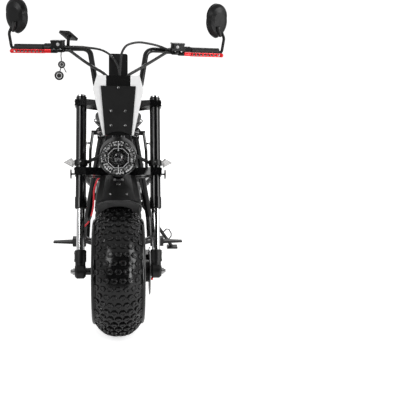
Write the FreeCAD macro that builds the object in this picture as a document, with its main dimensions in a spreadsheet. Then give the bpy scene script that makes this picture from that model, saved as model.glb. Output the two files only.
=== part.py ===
import FreeCAD, Part
import math
import os
import Sketcher
from FreeCAD import Placement, Rotation, Vector

# Electric scooter on two broad knobbly tyres, standing on its side stand.
# Frame: +Z up, the front wheel towards -Y, +X the rider's left, millimetres.

os.makedirs("parts", exist_ok=True)
doc = FreeCAD.newDocument("electric_scooter")
sheet = doc.addObject("Spreadsheet::Sheet", "Sizes")

# columns: name of the size, value in millimetres or degrees, what it measures
SIZES = (
    ("wheelbase", 1350, "front axle to rear axle"),
    ("tyre_radius", 266, "axle to the tips of the tread"),
    ("tyre_height", 114, "bead seat to the tips of the tread"),
    ("tyre_width", 210, "widest point of the sidewalls"),
    ("tyre_wall", 14, "thickness of the tyre casing"),
    ("knob_height", 8, "knobs above the casing"),
    ("knob_width", 29, "knobs, across the tread"),
    ("knob_length", 50, "knobs, along the tread"),
    ("knob_rows", 48, "rows of knobs round a tyre"),
    ("knobs_across", 6, "knobs in the fuller rows"),
    ("rim_width", 160, "between the rim flanges"),
    ("flange_height", 14, "rim flange above the bead seat"),
    ("flange_thick", 5, "rim flange"),
    ("rim_wall", 7, "rim barrel"),
    ("seat_gap", 0.3, "air left between pieces that seat on each other"),
    ("running_gap", 0.05, "radial play of a shaft in its bore"),
    ("axle_radius", 9, "both wheel axles"),
    ("axle_end", 8, "axle standing out of its nut"),
    ("nut_radius", 14, "axle nuts"),
    ("nut_width", 9, "axle nuts"),
    ("spacer_radius", 15, "spacers on the axles"),
    ("hub_radius", 32, "front hub"),
    ("hub_half_width", 84, "front hub"),
    ("spoke_count", 5, "front wheel"),
    ("spoke_width", 30, "front wheel"),
    ("spoke_thick", 22, "front wheel"),
    ("motor_gap", 33, "hub motor inside the rim barrel"),
    ("motor_half_width", 76, "hub motor in the rear wheel"),
    ("motor_web", 16, "web between the hub motor and the rim"),
    ("carrier_radius", 46, "hub shoulder that carries a disc"),
    ("disc_radius", 98, "brake discs"),
    ("disc_thick", 4, "brake discs"),
    ("disc_bore", 30, "radius of the middle hole of a disc"),
    ("disc_side", 128, "middle of a disc from the middle plane"),
    ("disc_slot", 8, "slot of a caliper"),
    ("caliper_width", 34, "calipers across the disc"),
    ("caliper_length", 76, "calipers along the disc's edge"),
    ("caliper_depth", 44, "calipers, radially"),
    ("caliper_bite", 26, "how far a caliper reaches in over the disc"),
    ("rake", 26.4, "fork from the vertical, degrees"),
    ("fork_offset", 32, "fork legs ahead of the steering axis"),
    ("leg_side", 155, "fork legs from the middle plane"),
    ("leg_radius", 22, "upper fork tubes"),
    ("leg_low", 262, "lower end of the upper fork tubes above the axle"),
    ("leg_high", 736, "upper end of the upper fork tubes above the axle"),
    ("leg_bore_depth", 60, "bore of the upper fork tubes"),
    ("collar_radius", 25, "thick lower end of the upper fork tubes"),
    ("collar_length", 44, "thick lower end of the upper fork tubes"),
    ("stanchion_radius", 17, "bright sliding tubes"),
    ("stanchion_low", 52, "lower end of the sliding tubes above the axle"),
    ("lug_high", 84, "top of the fork bottoms above the axle"),
    ("lug_boss_radius", 30, "axle boss of the fork bottoms"),
    ("lug_boss_stand", 1, "axle boss standing out of the fork bottoms' sides"),
    ("lug_boss_bevel", 8, "bevel of the axle boss"),
    ("lug_radius", 21, "fork bottoms"),
    ("lug_collar_radius", 24.5, "thick top of the fork bottoms"),
    ("lug_collar_length", 46, "thick top of the fork bottoms"),
    ("cap_radius", 19, "fork top caps"),
    ("cap_height", 7, "fork top caps"),
    ("top_clamp_low", 694, "underside of the top clamp"),
    ("top_clamp_thick", 26, "top clamp"),
    ("lower_clamp_low", 398, "underside of the lower clamp"),
    ("lower_clamp_thick", 32, "lower clamp"),
    ("clamp_reach", 181, "ends of both clamps from the middle plane"),
    ("clamp_end_half", 26, "half the depth of a clamp's ends"),
    ("clamp_back", 82, "rear edge of the clamps behind the legs"),
    ("stem_radius", 14, "steering stem"),
    ("stem_nut_radius", 19, "nut on the steering stem"),
    ("stem_nut_height", 14, "nut on the steering stem"),
    ("head_radius", 26, "head tube"),
    ("head_ring_radius", 33, "bearing rings of the head tube"),
    ("head_ring_height", 12, "bearing rings of the head tube"),
    ("bar_radius", 12, "handlebar tube"),
    ("bar_reach", 451, "ends of the handlebar from the middle plane"),
    ("bar_end_back", 546, "ends of the handlebar behind the front axle"),
    ("bar_end_up", 835, "ends of the handlebar above the axle"),
    ("bend_side", 124, "upper bends of the handlebar"),
    ("bend_back", 482, "upper bends of the handlebar"),
    ("bend_up", 846, "upper bends of the handlebar above the axle"),
    ("foot_side", 92, "lower bends of the handlebar"),
    ("bar_along", 774, "handlebar in its clamp above the axle"),
    ("bar_offset", 18, "handlebar in its clamp behind the legs"),
    ("grip_radius", 17.5, "grips"),
    ("grip_length", 128, "grips"),
    ("lever_length", 232, "brake levers"),
    ("lever_depth", 12, "brake lever blades"),
    ("lever_thick", 9, "brake levers"),
    ("lever_ahead", 44, "brake levers in front of the handlebar"),
    ("lever_drop", 12, "brake levers below the handlebar"),
    ("control_radius", 21, "switch housings on the handlebar"),
    ("control_length", 46, "switch housings on the handlebar"),
    ("cylinder_length", 62, "brake cylinders"),
    ("cylinder_depth", 26, "brake cylinders, up"),
    ("reservoir_height", 20, "fluid cups on the brake cylinders"),
    ("reservoir_round", 9, "corners of the fluid cups"),
    ("riser_width", 72, "handlebar clamp"),
    ("riser_depth", 38, "handlebar clamp"),
    ("riser_height", 72, "handlebar clamp"),
    ("panel_width", 80, "dark panel above the handlebar clamp"),
    ("panel_height", 126, "dark panel above the handlebar clamp"),
    ("panel_round", 9, "corners of the dark panel"),
    ("cable_radius", 5, "cables on the handlebar"),
    ("loom_radius", 6.5, "wrapped looms on the handlebar"),
    ("hose_radius", 3.5, "red brake hose on the frame"),
    ("panel_thick", 12, "dark panel above the handlebar clamp"),
    ("panel_low", 796, "foot of the dark panel above the axle"),
    ("panel_ahead", 26, "front face of the dark panel ahead of the legs"),
    ("display_width", 62, "display"),
    ("display_height", 66, "display"),
    ("display_thick", 10, "display"),
    ("display_side", 214, "display from the middle plane"),
    ("display_up", 899, "display above the axle"),
    ("display_back", 480, "display behind the front axle"),
    ("mirror_width", 106, "mirror heads"),
    ("mirror_height", 155, "mirror heads"),
    ("mirror_depth", 30, "mirror heads"),
    ("mirror_turn", 28, "mirrors turned in to the rider, degrees"),
    ("mirror_side", 436, "middle of the mirror heads"),
    ("mirror_back", 566, "reflecting face of the mirrors"),
    ("mirror_up", 972, "middle of the mirror heads above the axle"),
    ("mirror_rim", 5, "frame round the mirror glass"),
    ("glass_thick", 3, "mirror glass"),
    ("mirror_stalk_radius", 6.5, "mirror stalks"),
    ("fairing_top", 798, "top of the white fairing above the axle"),
    ("fairing_top_half", 88, "half the width of the fairing at its top"),
    ("fairing_wide", 739, "widest line of the fairing above the axle"),
    ("fairing_wide_half", 104, "half the width of the fairing there"),
    ("fairing_low", 545, "lower end of the fairing above the axle"),
    ("fairing_low_half", 62, "half the width of the fairing there"),
    ("fairing_thick", 4, "wall of the fairing"),
    ("fairing_ahead", 112, "front face of the fairing ahead of the legs"),
    ("fairing_wing", 82, "how far the fairing's sides reach back"),
    ("fairing_drop", 6, "slope of the fairing's sides to the rear, degrees"),
    ("plate_top_half", 72, "half the width of the front plate at its top"),
    ("plate_low_half", 54, "half the width of the front plate at its foot"),
    ("plate_top", 752, "top of the front plate above the axle"),
    ("plate_low", 543, "foot of the front plate above the axle"),
    ("plate_thick", 4, "front plate"),
    ("plate_arch", 17, "rise of the arch in the foot of the front plate"),
    ("lamp_radius", 76, "headlight"),
    ("lamp_up", 453, "middle of the headlight above the axle"),
    ("lamp_front", 95, "front of the headlight case behind the front axle"),
    ("lamp_depth", 66, "headlight case"),
    ("lamp_glass_radius", 73, "headlight glass"),
    ("lamp_glass_thick", 6, "headlight glass"),
    ("lamp_recess", 30, "depth of the headlight case"),
    ("lamp_ring_inner", 51, "light ring in the headlight"),
    ("lamp_ring_outer", 71, "light ring in the headlight"),
    ("lamp_ring_parts", 8, "parts of the light ring"),
    ("lamp_frame", 46, "eight-sided frame in the headlight"),
    ("leg_ring_along", 452, "rings on the legs above the axle, along the fork"),
    ("leg_ring_wall", 6, "rings on the legs"),
    ("leg_ring_height", 22, "rings on the legs"),
    ("projector_radius", 27, "round lens in the headlight"),
    ("guard_gap", 28, "mudguards clear of the tyres"),
    ("guard_rise", 14, "crown of the mudguards above their shoulders"),
    ("guard_half", 111, "inner half width of the rear mudguard"),
    ("front_guard_half", 88, "inner half width of the front mudguard"),
    ("guard_crown_share", 0.54, "flat crown of the mudguards, share of their width"),
    ("guard_skirt", 46, "sides of the rear mudguard"),
    ("front_guard_skirt", 26, "sides of the front mudguard"),
    ("guard_wall", 4, "wall of the mudguards"),
    ("front_guard_lip", 94, "front lip of the front mudguard, degrees up from the rear"),
    ("guard_brace_top", 50, "half the width of the front mudguard's brace under the clamp"),
    ("guard_brace_foot", 67, "half the width of the brace on the mudguard"),
    ("guard_brace_ahead", 24, "front face of the brace ahead of the legs"),
    ("guard_brace_wing", 22, "sides of the brace, across and back"),
    ("front_guard_tail", 34, "rear end of the front mudguard, degrees up from the rear"),
    ("rear_guard_lip", 103, "front lip of the rear mudguard, degrees up from the rear"),
    ("rear_guard_tail", -8, "tip of the rear mudguard, degrees up from the rear"),
    ("indicator_tall", 42, "indicators, up"),
    ("indicator_deep", 20, "indicators, front to back"),
    ("indicator_length", 50, "indicators, across"),
    ("front_indicator_tip", 229, "tips of the front indicators"),
    ("rear_indicator_tip", 235, "tips of the rear indicators"),
    ("reflector_radius", 20, "round reflectors"),
    ("reflector_thick", 5, "round reflectors"),
    ("reflector_side", 193, "inner face of the round reflectors"),
    ("spine_radius", 24, "backbone tube"),
    ("spine_rise", 45, "backbone above the lower clamp"),
    ("spine_bend", 120, "bends of the backbone"),
    ("spine_low_back", 424, "low bend of the backbone behind the front axle"),
    ("spine_low_up", 560, "low bend of the backbone above the floor"),
    ("spine_middle_up", 578, "foot of the backbone's rise to the saddle"),
    ("cradle_radius", 14, "cradle tubes under the battery"),
    ("cradle_side", 70, "cradle tubes from the middle plane"),
    ("cradle_front", 400, "front of the cradle behind the front axle"),
    ("cradle_up", 192, "cradle tubes above the floor"),
    ("rail_radius", 16, "side rails"),
    ("rail_side", 150, "side rails at the footpegs"),
    ("rail_up", 232, "side rails at the footpegs"),
    ("battery_half", 109, "half the width of the battery case"),
    ("battery_height", 190, "battery case"),
    ("battery_front", 446, "front of the battery case behind the front axle"),
    ("battery_clear", 47, "battery case in front of the pivot"),
    ("pivot_ahead", 179, "swingarm pivot in front of the rear tyre"),
    ("pivot_up", 300, "swingarm pivot above the floor"),
    ("pivot_radius", 22, "swingarm pivot sleeve"),
    ("pivot_half", 138, "half the length of the swingarm pivot sleeve"),
    ("arm_radius", 20, "swingarm tubes"),
    ("arm_side", 166, "swingarm tubes beside the wheel"),
    ("arm_end_radius", 38, "axle plates of the swingarm"),
    ("arm_end_thick", 26, "axle plates of the swingarm"),
    ("shock_side", 90, "shock absorbers from the middle plane"),
    ("shock_top_ahead", 93, "upper eyes of the shock absorbers in front of the pivot"),
    ("shock_low_behind", 95, "lower eyes of the shock absorbers behind the pivot"),
    ("shock_pin_radius", 5, "pins of the shock absorbers"),
    ("shock_eye_width", 26, "eyes of the shock absorbers"),
    ("shock_rod_radius", 8, "piston rods of the shock absorbers"),
    ("shock_body_radius", 12, "bodies of the shock absorbers"),
    ("shock_eye_radius", 13, "eyes of the shock absorbers"),
    ("spring_radius", 20, "shock absorber springs"),
    ("spring_wire", 7, "spring wire"),
    ("spring_turns", 8, "turns of a spring"),
    ("spring_length", 104, "shock absorber springs"),
    ("saddle_half", 132, "half the width of the saddle"),
    ("saddle_length", 389, "saddle"),
    ("saddle_tail", 80, "tail of the saddle behind the pivot"),
    ("saddle_low", 704, "underside of the saddle above the floor"),
    ("saddle_thick", 60, "saddle"),
    ("saddle_nose_half", 42, "half the width of the saddle's nose"),
    ("pan_thick", 9, "saddle pan"),
    ("pan_inset", 14, "saddle pan inside the saddle's outline"),
    ("hoop_radius", 11, "tail hoop tube"),
    ("tail_behind", 317, "front of the tail light housing behind the pivot"),
    ("tail_up", 694, "underside of the tail light housing"),
    ("tail_half", 52, "half the width of the tail light housing"),
    ("tail_height", 50, "tail light housing"),
    ("tail_depth", 28, "tail light housing"),
    ("tail_lens_half", 43, "half the width of the tail light lens"),
    ("tail_lens_height", 32, "tail light lens"),
    ("tail_lens_thick", 8, "tail light lens"),
    ("plate_width", 120, "number plate"),
    ("plate_height", 190, "number plate"),
    ("number_plate_thick", 3, "number plate"),
    ("plate_gap", 3, "number plate behind the rear mudguard"),
    ("number_plate_up", 458, "middle of the number plate"),
    ("plate_hole_radius", 3, "screw holes of the number plate"),
    ("plate_hole_width", 90, "screw holes of the number plate, across"),
    ("plate_hole_height", 150, "screw holes of the number plate, up"),
    ("peg_thick", 13, "footpegs at their roots"),
    ("peg_tip_thick", 7, "footpegs at their tips"),
    ("peg_width", 32, "footpegs, front to back"),
    ("peg_tip", 300, "tips of the footpegs from the middle plane"),
    ("peg_root", 212, "roots of the footpegs from the middle plane"),
    ("peg_back", 441, "footpegs behind the front axle"),
    ("peg_up", 225, "footpegs above the floor"),
    ("stand_pivot_side", 128, "side stand pivot"),
    ("stand_pivot_behind", 67, "side stand pivot behind the swingarm pivot"),
    ("stand_pivot_up", 232, "side stand pivot above the floor"),
    ("stand_foot_side", 292, "side stand foot"),
    ("stand_foot_behind", 21, "side stand foot behind the swingarm pivot"),
    ("stand_radius", 9, "side stand leg"),
    ("stand_pin_radius", 6, "side stand pivot pin"),
    ("stand_eye_radius", 14, "eye of the side stand"),
    ("stand_eye_width", 20, "eye of the side stand"),
    ("foot_thick", 8, "foot plate of the side stand"),
    ("foot_half", 28, "half the width of the foot plate"),
)


class Size:
    """A size worked out from cells of the sheet: its formula and its value."""

    def __init__(self, formula, value):
        self.formula = formula
        self.value = float(value)

    def __float__(self):
        return self.value

    def joined(self, sign, other, value):
        return Size("(%s %s %s)" % (self.formula, sign, formula_of(other)), value)

    def __add__(self, other):
        return self.joined("+", other, self.value + float(other))

    def __sub__(self, other):
        return self.joined("-", other, self.value - float(other))

    def __mul__(self, other):
        return self.joined("*", other, self.value * float(other))

    def __truediv__(self, other):
        return self.joined("/", other, self.value / float(other))

    def __neg__(self):
        return self * -1

    def __rsub__(self, other):
        return self * -1 + other

    __radd__ = __add__
    __rmul__ = __mul__


def formula_of(size):
    return size.formula if isinstance(size, Size) else repr(float(size))


class Sheet:
    """The cells of the sheet by name."""


mm = Sheet()
for row, (name, value, meaning) in enumerate(SIZES, start=1):
    sheet.set("A%d" % row, meaning)
    sheet.set("B%d" % row, str(value))
    sheet.setAlias("B%d" % row, name)
    setattr(mm, name, Size("Sizes." + name, value))
doc.recompute()

X_AXIS = Vector(1, 0, 0)
Y_AXIS = Vector(0, 1, 0)
Z_AXIS = Vector(0, 0, 1)

# the origin is on the floor, in the middle of the length and of the width
rim_radius = mm.tyre_radius - mm.tyre_height
guard_inner = mm.tyre_radius + mm.guard_gap
guard_crown = guard_inner + mm.guard_rise + mm.guard_wall
pivot_back = mm.wheelbase - mm.tyre_radius - mm.pivot_ahead
number_plate_back = mm.wheelbase + guard_crown + mm.plate_gap + mm.number_plate_thick
front_y = (mm.tyre_radius - number_plate_back) / 2


def spot(side, back, up):
    """A point by its distance to the left, behind the front axle and above the floor."""
    return Vector(float(side), float(front_y) + float(back), float(up))


def above_axle(side, back, up):
    """A point by its distance to the left, behind the front axle and above it."""
    return spot(side, back, mm.tyre_radius + up)


fork_frame = Placement(spot(0, 0, mm.tyre_radius), Rotation(X_AXIS, -mm.rake.value))
front_axle = spot(0, 0, mm.tyre_radius)
rear_axle = spot(0, mm.wheelbase, mm.tyre_radius)


def on_fork(side, behind, along):
    """A point by its distance to the left, behind the fork legs and up along them."""
    return fork_frame.multVec(Vector(float(side), float(behind), float(along)))


fork_up = fork_frame.Rotation.multVec(Z_AXIS)


def bind(item, **sizes):
    """Gives properties of an object the formulas of their sizes."""
    for name, size in sizes.items():
        setattr(item, name, float(size))
        if isinstance(size, Size):
            item.setExpression(name, size.formula)


def cylinder(label, radius, length, start, direction):
    """A round bar from a point along a direction."""
    item = doc.addObject("Part::Cylinder", label)
    bind(item, Radius=radius, Height=length)
    item.Placement = Placement(start, Rotation(Z_AXIS, direction))
    return item


def cone(label, low_radius, high_radius, length, start, direction):
    """A tapered round bar from a point along a direction."""
    item = doc.addObject("Part::Cone", label)
    bind(item, Radius1=low_radius, Radius2=high_radius, Height=length)
    item.Placement = Placement(start, Rotation(Z_AXIS, direction))
    return item


def block(label, width, depth, height, centre, turn=Rotation()):
    """A box by its middle, turned in place."""
    item = doc.addObject("Part::Box", label)
    bind(item, Length=width, Width=depth, Height=height)
    half = Vector(float(width) / 2, float(depth) / 2, float(height) / 2)
    item.Placement = Placement(centre - turn.multVec(half), turn)
    return item


def bend(start, corner, finish, radius):
    """The tangent arc at a corner of a route, with its two ends."""
    inward = (corner - start).normalize()
    outward = (finish - corner).normalize()
    turn = inward.getAngle(outward)
    reach = radius * math.tan(turn / 2)
    first = corner - inward * reach
    last = corner + outward * reach
    middle = (outward - inward).normalize()
    centre = corner + middle * (radius / math.cos(turn / 2))
    through = centre - middle * radius
    return first, through, last


def route(points, radii):
    """A wire of straight runs and tangent arcs through a list of points."""
    edges = []
    here = points[0]
    for index, radius in enumerate(radii, start=1):
        first, through, last = bend(points[index - 1], points[index], points[index + 1], radius)
        edges.append(Part.LineSegment(here, first).toShape())
        edges.append(Part.Arc(first, through, last).toShape())
        here = last
    edges.append(Part.LineSegment(here, points[-1]).toShape())
    return Part.Wire(edges)


def bent_tube(label, points, radii, radius):
    """A round tube, filled, along straight runs joined by arcs."""
    direction = (points[1] - points[0]).normalize()
    disc = Part.Face(Part.Wire([Part.Circle(points[0], direction, float(radius)).toShape()]))
    item = doc.addObject("Part::Feature", label)
    item.Shape = route(points, [float(bend_radius) for bend_radius in radii]).makePipe(disc)
    return item


def join(label, pieces):
    item = doc.addObject("Part::MultiFuse", label)
    item.Shapes = pieces
    return item


def cut(label, base, tool):
    item = doc.addObject("Part::Cut", label)
    item.Base = base
    item.Tool = tool
    return item


def mirrored(item):
    """The same piece on the other side of the middle plane."""
    twin = doc.addObject("Part::Mirroring", item.Name + "_twin")
    twin.Source = item
    twin.Normal = X_AXIS
    return twin


def group(label, pieces):
    """Pieces of one sub-part that don't touch each other."""
    item = doc.addObject("Part::Compound", label)
    item.Links = pieces
    return item


def pair(label, item):
    return group(label, [item, mirrored(item)])


def origin_plane(body, role):
    for feature in body.Origin.OriginFeatures:
        if feature.Role == role:
            return feature
    raise ValueError(role)


def fix_point(sketch, curve, end, point):
    """Ties a point of a sketch to the two sizes that place it."""
    for kind, axis, size in (("DistanceX", -2, point[0]), ("DistanceY", -1, point[1])):
        if float(size) == 0:
            sketch.addConstraint(Sketcher.Constraint("PointOnObject", curve, end, axis))
            continue
        index = sketch.addConstraint(Sketcher.Constraint(kind, -1, 1, curve, end, float(size)))
        if isinstance(size, Size):
            sketch.setExpression("Constraints[%d]" % index, size.formula)


def draw_outline(sketch, corners):
    """A closed outline. A corner is (x, y), or (x, y, (x, y)) where an arc through the
    inner point leads to it from the corner before."""
    flat = [Vector(float(corner[0]), float(corner[1]), 0) for corner in corners]
    curves = []
    for index, corner in enumerate(corners):
        start = flat[index - 1]
        if len(corner) == 3:
            through = Vector(float(corner[2][0]), float(corner[2][1]), 0)
            if (through - start).cross(flat[index] - through).z > 0:
                curves.append((sketch.addGeometry(Part.Arc(start, through, flat[index])), 1, 2))
            else:
                curves.append((sketch.addGeometry(Part.Arc(flat[index], through, start)), 2, 1))
        else:
            curves.append((sketch.addGeometry(Part.LineSegment(start, flat[index])), 1, 2))
    for index, corner in enumerate(corners):
        number, first, last = curves[index]
        before, before_first, before_last = curves[index - 1]
        sketch.addConstraint(Sketcher.Constraint("Coincident", before, before_last, number, first))
        fix_point(sketch, number, last, corner)
        if len(corner) == 3:
            through = Vector(float(corner[2][0]), float(corner[2][1]), 0)
            inner = sketch.addGeometry(Part.Point(through), True)
            fix_point(sketch, inner, 1, corner[2])
            sketch.addConstraint(Sketcher.Constraint("PointOnObject", inner, 1, number))


def sketched(body, outlines, circles=(), height=0):
    """A sketch on the body's own plane or above it. A circle is (x, y, radius)."""
    sketch = body.newObject("Sketcher::SketchObject", body.Name + "_sketch")
    sketch.AttachmentSupport = [(origin_plane(body, "XY_Plane"), "")]
    sketch.MapMode = "FlatFace"
    sketch.AttachmentOffset = Placement(Vector(0, 0, float(height)), Rotation())
    if isinstance(height, Size):
        sketch.setExpression("AttachmentOffset.Base.z", height.formula)
    for corners in outlines:
        draw_outline(sketch, corners)
    for across, up, radius in circles:
        middle = Vector(float(across), float(up), 0)
        curve = sketch.addGeometry(Part.Circle(middle, Z_AXIS, float(radius)))
        fix_point(sketch, curve, 3, (across, up))
        index = sketch.addConstraint(Sketcher.Constraint("Radius", curve, float(radius)))
        if isinstance(radius, Size):
            sketch.setExpression("Constraints[%d]" % index, radius.formula)
    return sketch


def slab(label, outlines, thickness, placement, circles=(), lean=None):
    """A plate: outlines and holes drawn flat, then raised along its normal or a slope."""
    body = doc.addObject("PartDesign::Body", label)
    sketch = sketched(body, outlines, circles)
    pad = body.newObject("PartDesign::Pad", body.Name + "_pad")
    pad.Profile = sketch
    bind(pad, Length=thickness)
    if lean is not None:
        pad.UseCustomVector = True
        pad.Direction = lean
        pad.AlongSketchNormal = False
    body.Placement = placement
    return body


def turned(label, corners, placement, angle=360.0):
    """A turned piece: half its section, drawn beside the X axis and revolved round it."""
    body = doc.addObject("PartDesign::Body", label)
    sketch = sketched(body, [corners])
    revolution = body.newObject("PartDesign::Revolution", body.Name + "_turn")
    revolution.Profile = sketch
    revolution.ReferenceAxis = (sketch, ["H_Axis"])
    bind(revolution, Angle=angle)
    body.Placement = placement
    return body


def lofted(label, sections, placement):
    """A body between outlines that lie at heights above its plane."""
    body = doc.addObject("PartDesign::Body", label)
    sketches = [sketched(body, [corners], height=height) for height, corners in sections]
    loft = body.newObject("PartDesign::AdditiveLoft", body.Name + "_loft")
    loft.Profile = sketches[0]
    loft.Sections = sketches[1:]
    loft.Ruled = True
    body.Placement = placement
    return body


def other_side(run):
    """The same run of corners on the other side of the middle, walked back."""
    corners = []
    through = ()
    for corner in reversed(run):
        corners.append((-corner[0], corner[1]) + through)
        through = ((-corner[2][0], corner[2][1]),) if len(corner) == 3 else ()
    return corners


def both_sides(half):
    """A closed outline from its right half, listed from the top to the foot."""
    return half + other_side(half)


def rounded(width, height, radius):
    """A rectangle about its middle with rounded corners."""
    half = width / 2
    tall = height / 2
    inner = radius * (1 - math.sqrt(0.5))
    return [
        (half, tall - radius),
        (half - radius, tall, (half - inner, tall - inner)),
        (radius - half, tall),
        (-half, tall - radius, (inner - half, tall - inner)),
        (-half, radius - tall),
        (radius - half, -tall, (inner - half, inner - tall)),
        (half - radius, -tall),
        (half, radius - tall, (half - inner, inner - tall)),
    ]


# Tyres: a round casing open at the beads, with staggered rows of knobs fused to it.
half_width = mm.tyre_width / 2
bead = mm.rim_width / 2 - mm.seat_gap
bead_up = rim_radius + mm.seat_gap
flange_up = rim_radius + mm.flange_height
wall = mm.tyre_wall
# columns: share of half the tyre's width, share of its height down from the tips
TREAD = ((0.0, 0.0), (0.14, 0.0), (0.42, 0.062), (0.59, 0.15), (0.743, 0.276), (0.838, 0.386))


def tread(depth):
    """Half the outline of the tread, a depth below its tips, from the edge inwards."""
    tips = mm.tyre_radius - depth
    return [(half_width * across, tips - mm.tyre_height * drop) for across, drop in TREAD[:0:-1]]


edge, *tread_top = tread(mm.knob_height)
wide_up = flange_up * 0.6 + edge[1] * 0.4
side_out = [
    (bead, bead_up),
    (bead, flange_up + 2),
    (half_width, wide_up, (half_width * 0.92, flange_up * 0.86 + edge[1] * 0.14)),
    edge + ((half_width * 0.957, wide_up * 0.43 + edge[1] * 0.57),),
] + tread_top
side_in = [
    (wall - bead, bead_up),
    (wall - bead, flange_up + 4),
    (wall - half_width, wide_up),
] + [(-across, up) for across, up in tread(mm.knob_height + wall)[1:]]
tyre_section = side_out + other_side(side_out) + side_in + other_side(side_in)


def on_tread(along):
    """The point of the tread's tips at a distance from the middle along their outline."""
    left = abs(along)
    for low, high in zip(tread_line, tread_line[1:]):
        run = math.dist(low, high)
        if left <= run or high == tread_line[-1]:
            break
        left -= run
    across = low[0] + (high[0] - low[0]) * left / run
    return Vector(math.copysign(across, along), 0, low[1] + (high[1] - low[1]) * left / run)


def knob(axle, turn, along):
    """One four-sided knob, its long corners along the tread."""
    half_width = mm.knob_width.value / 2
    half_length = mm.knob_length.value / 2
    right_end = on_tread(along - half_width)
    left_end = on_tread(along + half_width)
    sideways = (left_end - right_end).normalize()
    outward = Vector(-sideways.z, 0, sideways.x)
    middle = (left_end + right_end) / 2
    sink = middle.z - math.sqrt(middle.z * middle.z - half_length * half_length)
    middle -= outward * sink
    corners = [middle + sideways * half_width, middle + Y_AXIS * half_length]
    corners += [middle * 2 - corner for corner in corners]
    corners = [axle + turn.multVec(corner) for corner in corners]
    top = Part.Face(Part.makePolygon(corners + corners[:1]))
    return top.extrude(turn.multVec(outward) * -(mm.knob_height.value + 5))


def tyre(label, axle):
    reach = 2 * sum(math.dist(low, high) for low, high in zip(tread_line, tread_line[1:]))
    pitch = reach / (mm.knobs_across.value + 0.1)
    knobs = []
    for row in range(int(mm.knob_rows.value)):
        turn = Rotation(X_AXIS, 180 + 360.0 / mm.knob_rows.value * row)
        count = int(mm.knobs_across.value) - row % 2
        knobs += [knob(axle, turn, (index - (count - 1) / 2) * pitch) for index in range(count)]
    ring = doc.addObject("Part::Feature", label + "_knobs")
    ring.Shape = Part.makeCompound(knobs)
    casing = turned(label + "_casing", tyre_section, Placement(axle, Rotation()))
    return join(label, [casing, ring])


tread_line = [(0.0, mm.tyre_radius.value)]
tread_line += [(float(across), float(up)) for across, up in reversed(tread(0))]
tyre("front_tyre", front_axle)
tyre("rear_tyre", rear_axle)

# Rims: a barrel between two flanges. The front one has spokes to its hub, the rear one
# a web to the hub motor. Both run on the axle and carry a disc on the left.
flange_out = mm.rim_width / 2 + mm.flange_thick
seat_out = mm.rim_width / 2
barrel_in = rim_radius - mm.rim_wall
motor_radius = barrel_in - mm.motor_gap
rim_section = [
    (flange_out, barrel_in),
    (flange_out, flange_up),
    (seat_out, flange_up),
    (seat_out, rim_radius),
    (-seat_out, rim_radius),
    (-seat_out, flange_up),
    (-flange_out, flange_up),
    (-flange_out, barrel_in),
]
bore_radius = mm.axle_radius + mm.running_gap
disc_inner = mm.disc_side - mm.disc_thick / 2
disc_outer = mm.disc_side + mm.disc_thick / 2


def hub(label, axle, radius, half_length):
    """A hub on its axle, with the shoulder and the pilot that carry the disc."""
    body = cylinder(label + "_drum", radius, half_length * 2, axle - X_AXIS * float(half_length), X_AXIS)
    shoulder_start = axle + X_AXIS * (float(half_length) - 1)
    carrier = cylinder(
        label + "_carrier", mm.carrier_radius, disc_inner - half_length + 1, shoulder_start, X_AXIS
    )
    pilot = cylinder(
        label + "_pilot",
        mm.disc_bore - mm.seat_gap,
        disc_outer - half_length,
        axle + X_AXIS * float(half_length),
        X_AXIS,
    )
    return [body, carrier, pilot]


def bored(label, pieces, axle):
    """A wheel centre with the bore that runs on its axle."""
    bore = cylinder(
        label + "_bore", bore_radius, mm.rim_width * 2, axle - X_AXIS * float(mm.rim_width), X_AXIS
    )
    return cut(label, join(label + "_body", pieces), bore)


front_pieces = [turned("front_barrel", rim_section, Placement(front_axle, Rotation()))]
front_pieces += hub("front_hub", front_axle, mm.hub_radius, mm.hub_half_width)
spoke_length = barrel_in - mm.hub_radius + 6
spoke_middle = (barrel_in + mm.hub_radius) / 2
for index in range(int(mm.spoke_count.value)):
    turn = Rotation(X_AXIS, 360.0 / mm.spoke_count.value * index)
    centre = front_axle + turn.multVec(Vector(0, 0, float(spoke_middle)))
    front_pieces.append(block("spoke", mm.spoke_thick, mm.spoke_width, spoke_length, centre, turn))
bored("front_rim", front_pieces, front_axle)

rear_pieces = [turned("rear_barrel", rim_section, Placement(rear_axle, Rotation()))]
rear_pieces += hub("motor", rear_axle, motor_radius, mm.motor_half_width)
web_start = rear_axle - X_AXIS * float(mm.motor_web / 2)
rear_pieces.append(cylinder("motor_web", barrel_in + 1, mm.motor_web, web_start, X_AXIS))
bored("rear_rim", rear_pieces, rear_axle)

# Brake discs: flat rings on the left of each wheel.
def brake_disc(label, axle):
    start = axle + X_AXIS * float(disc_inner)
    plate = cylinder(label + "_plate", mm.disc_radius, mm.disc_thick, start, X_AXIS)
    hole = cylinder(label + "_hole", mm.disc_bore, mm.disc_thick, start, X_AXIS)
    return cut(label, plate, hole)


brake_disc("front_disc", front_axle)
brake_disc("rear_disc", rear_axle)


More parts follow.
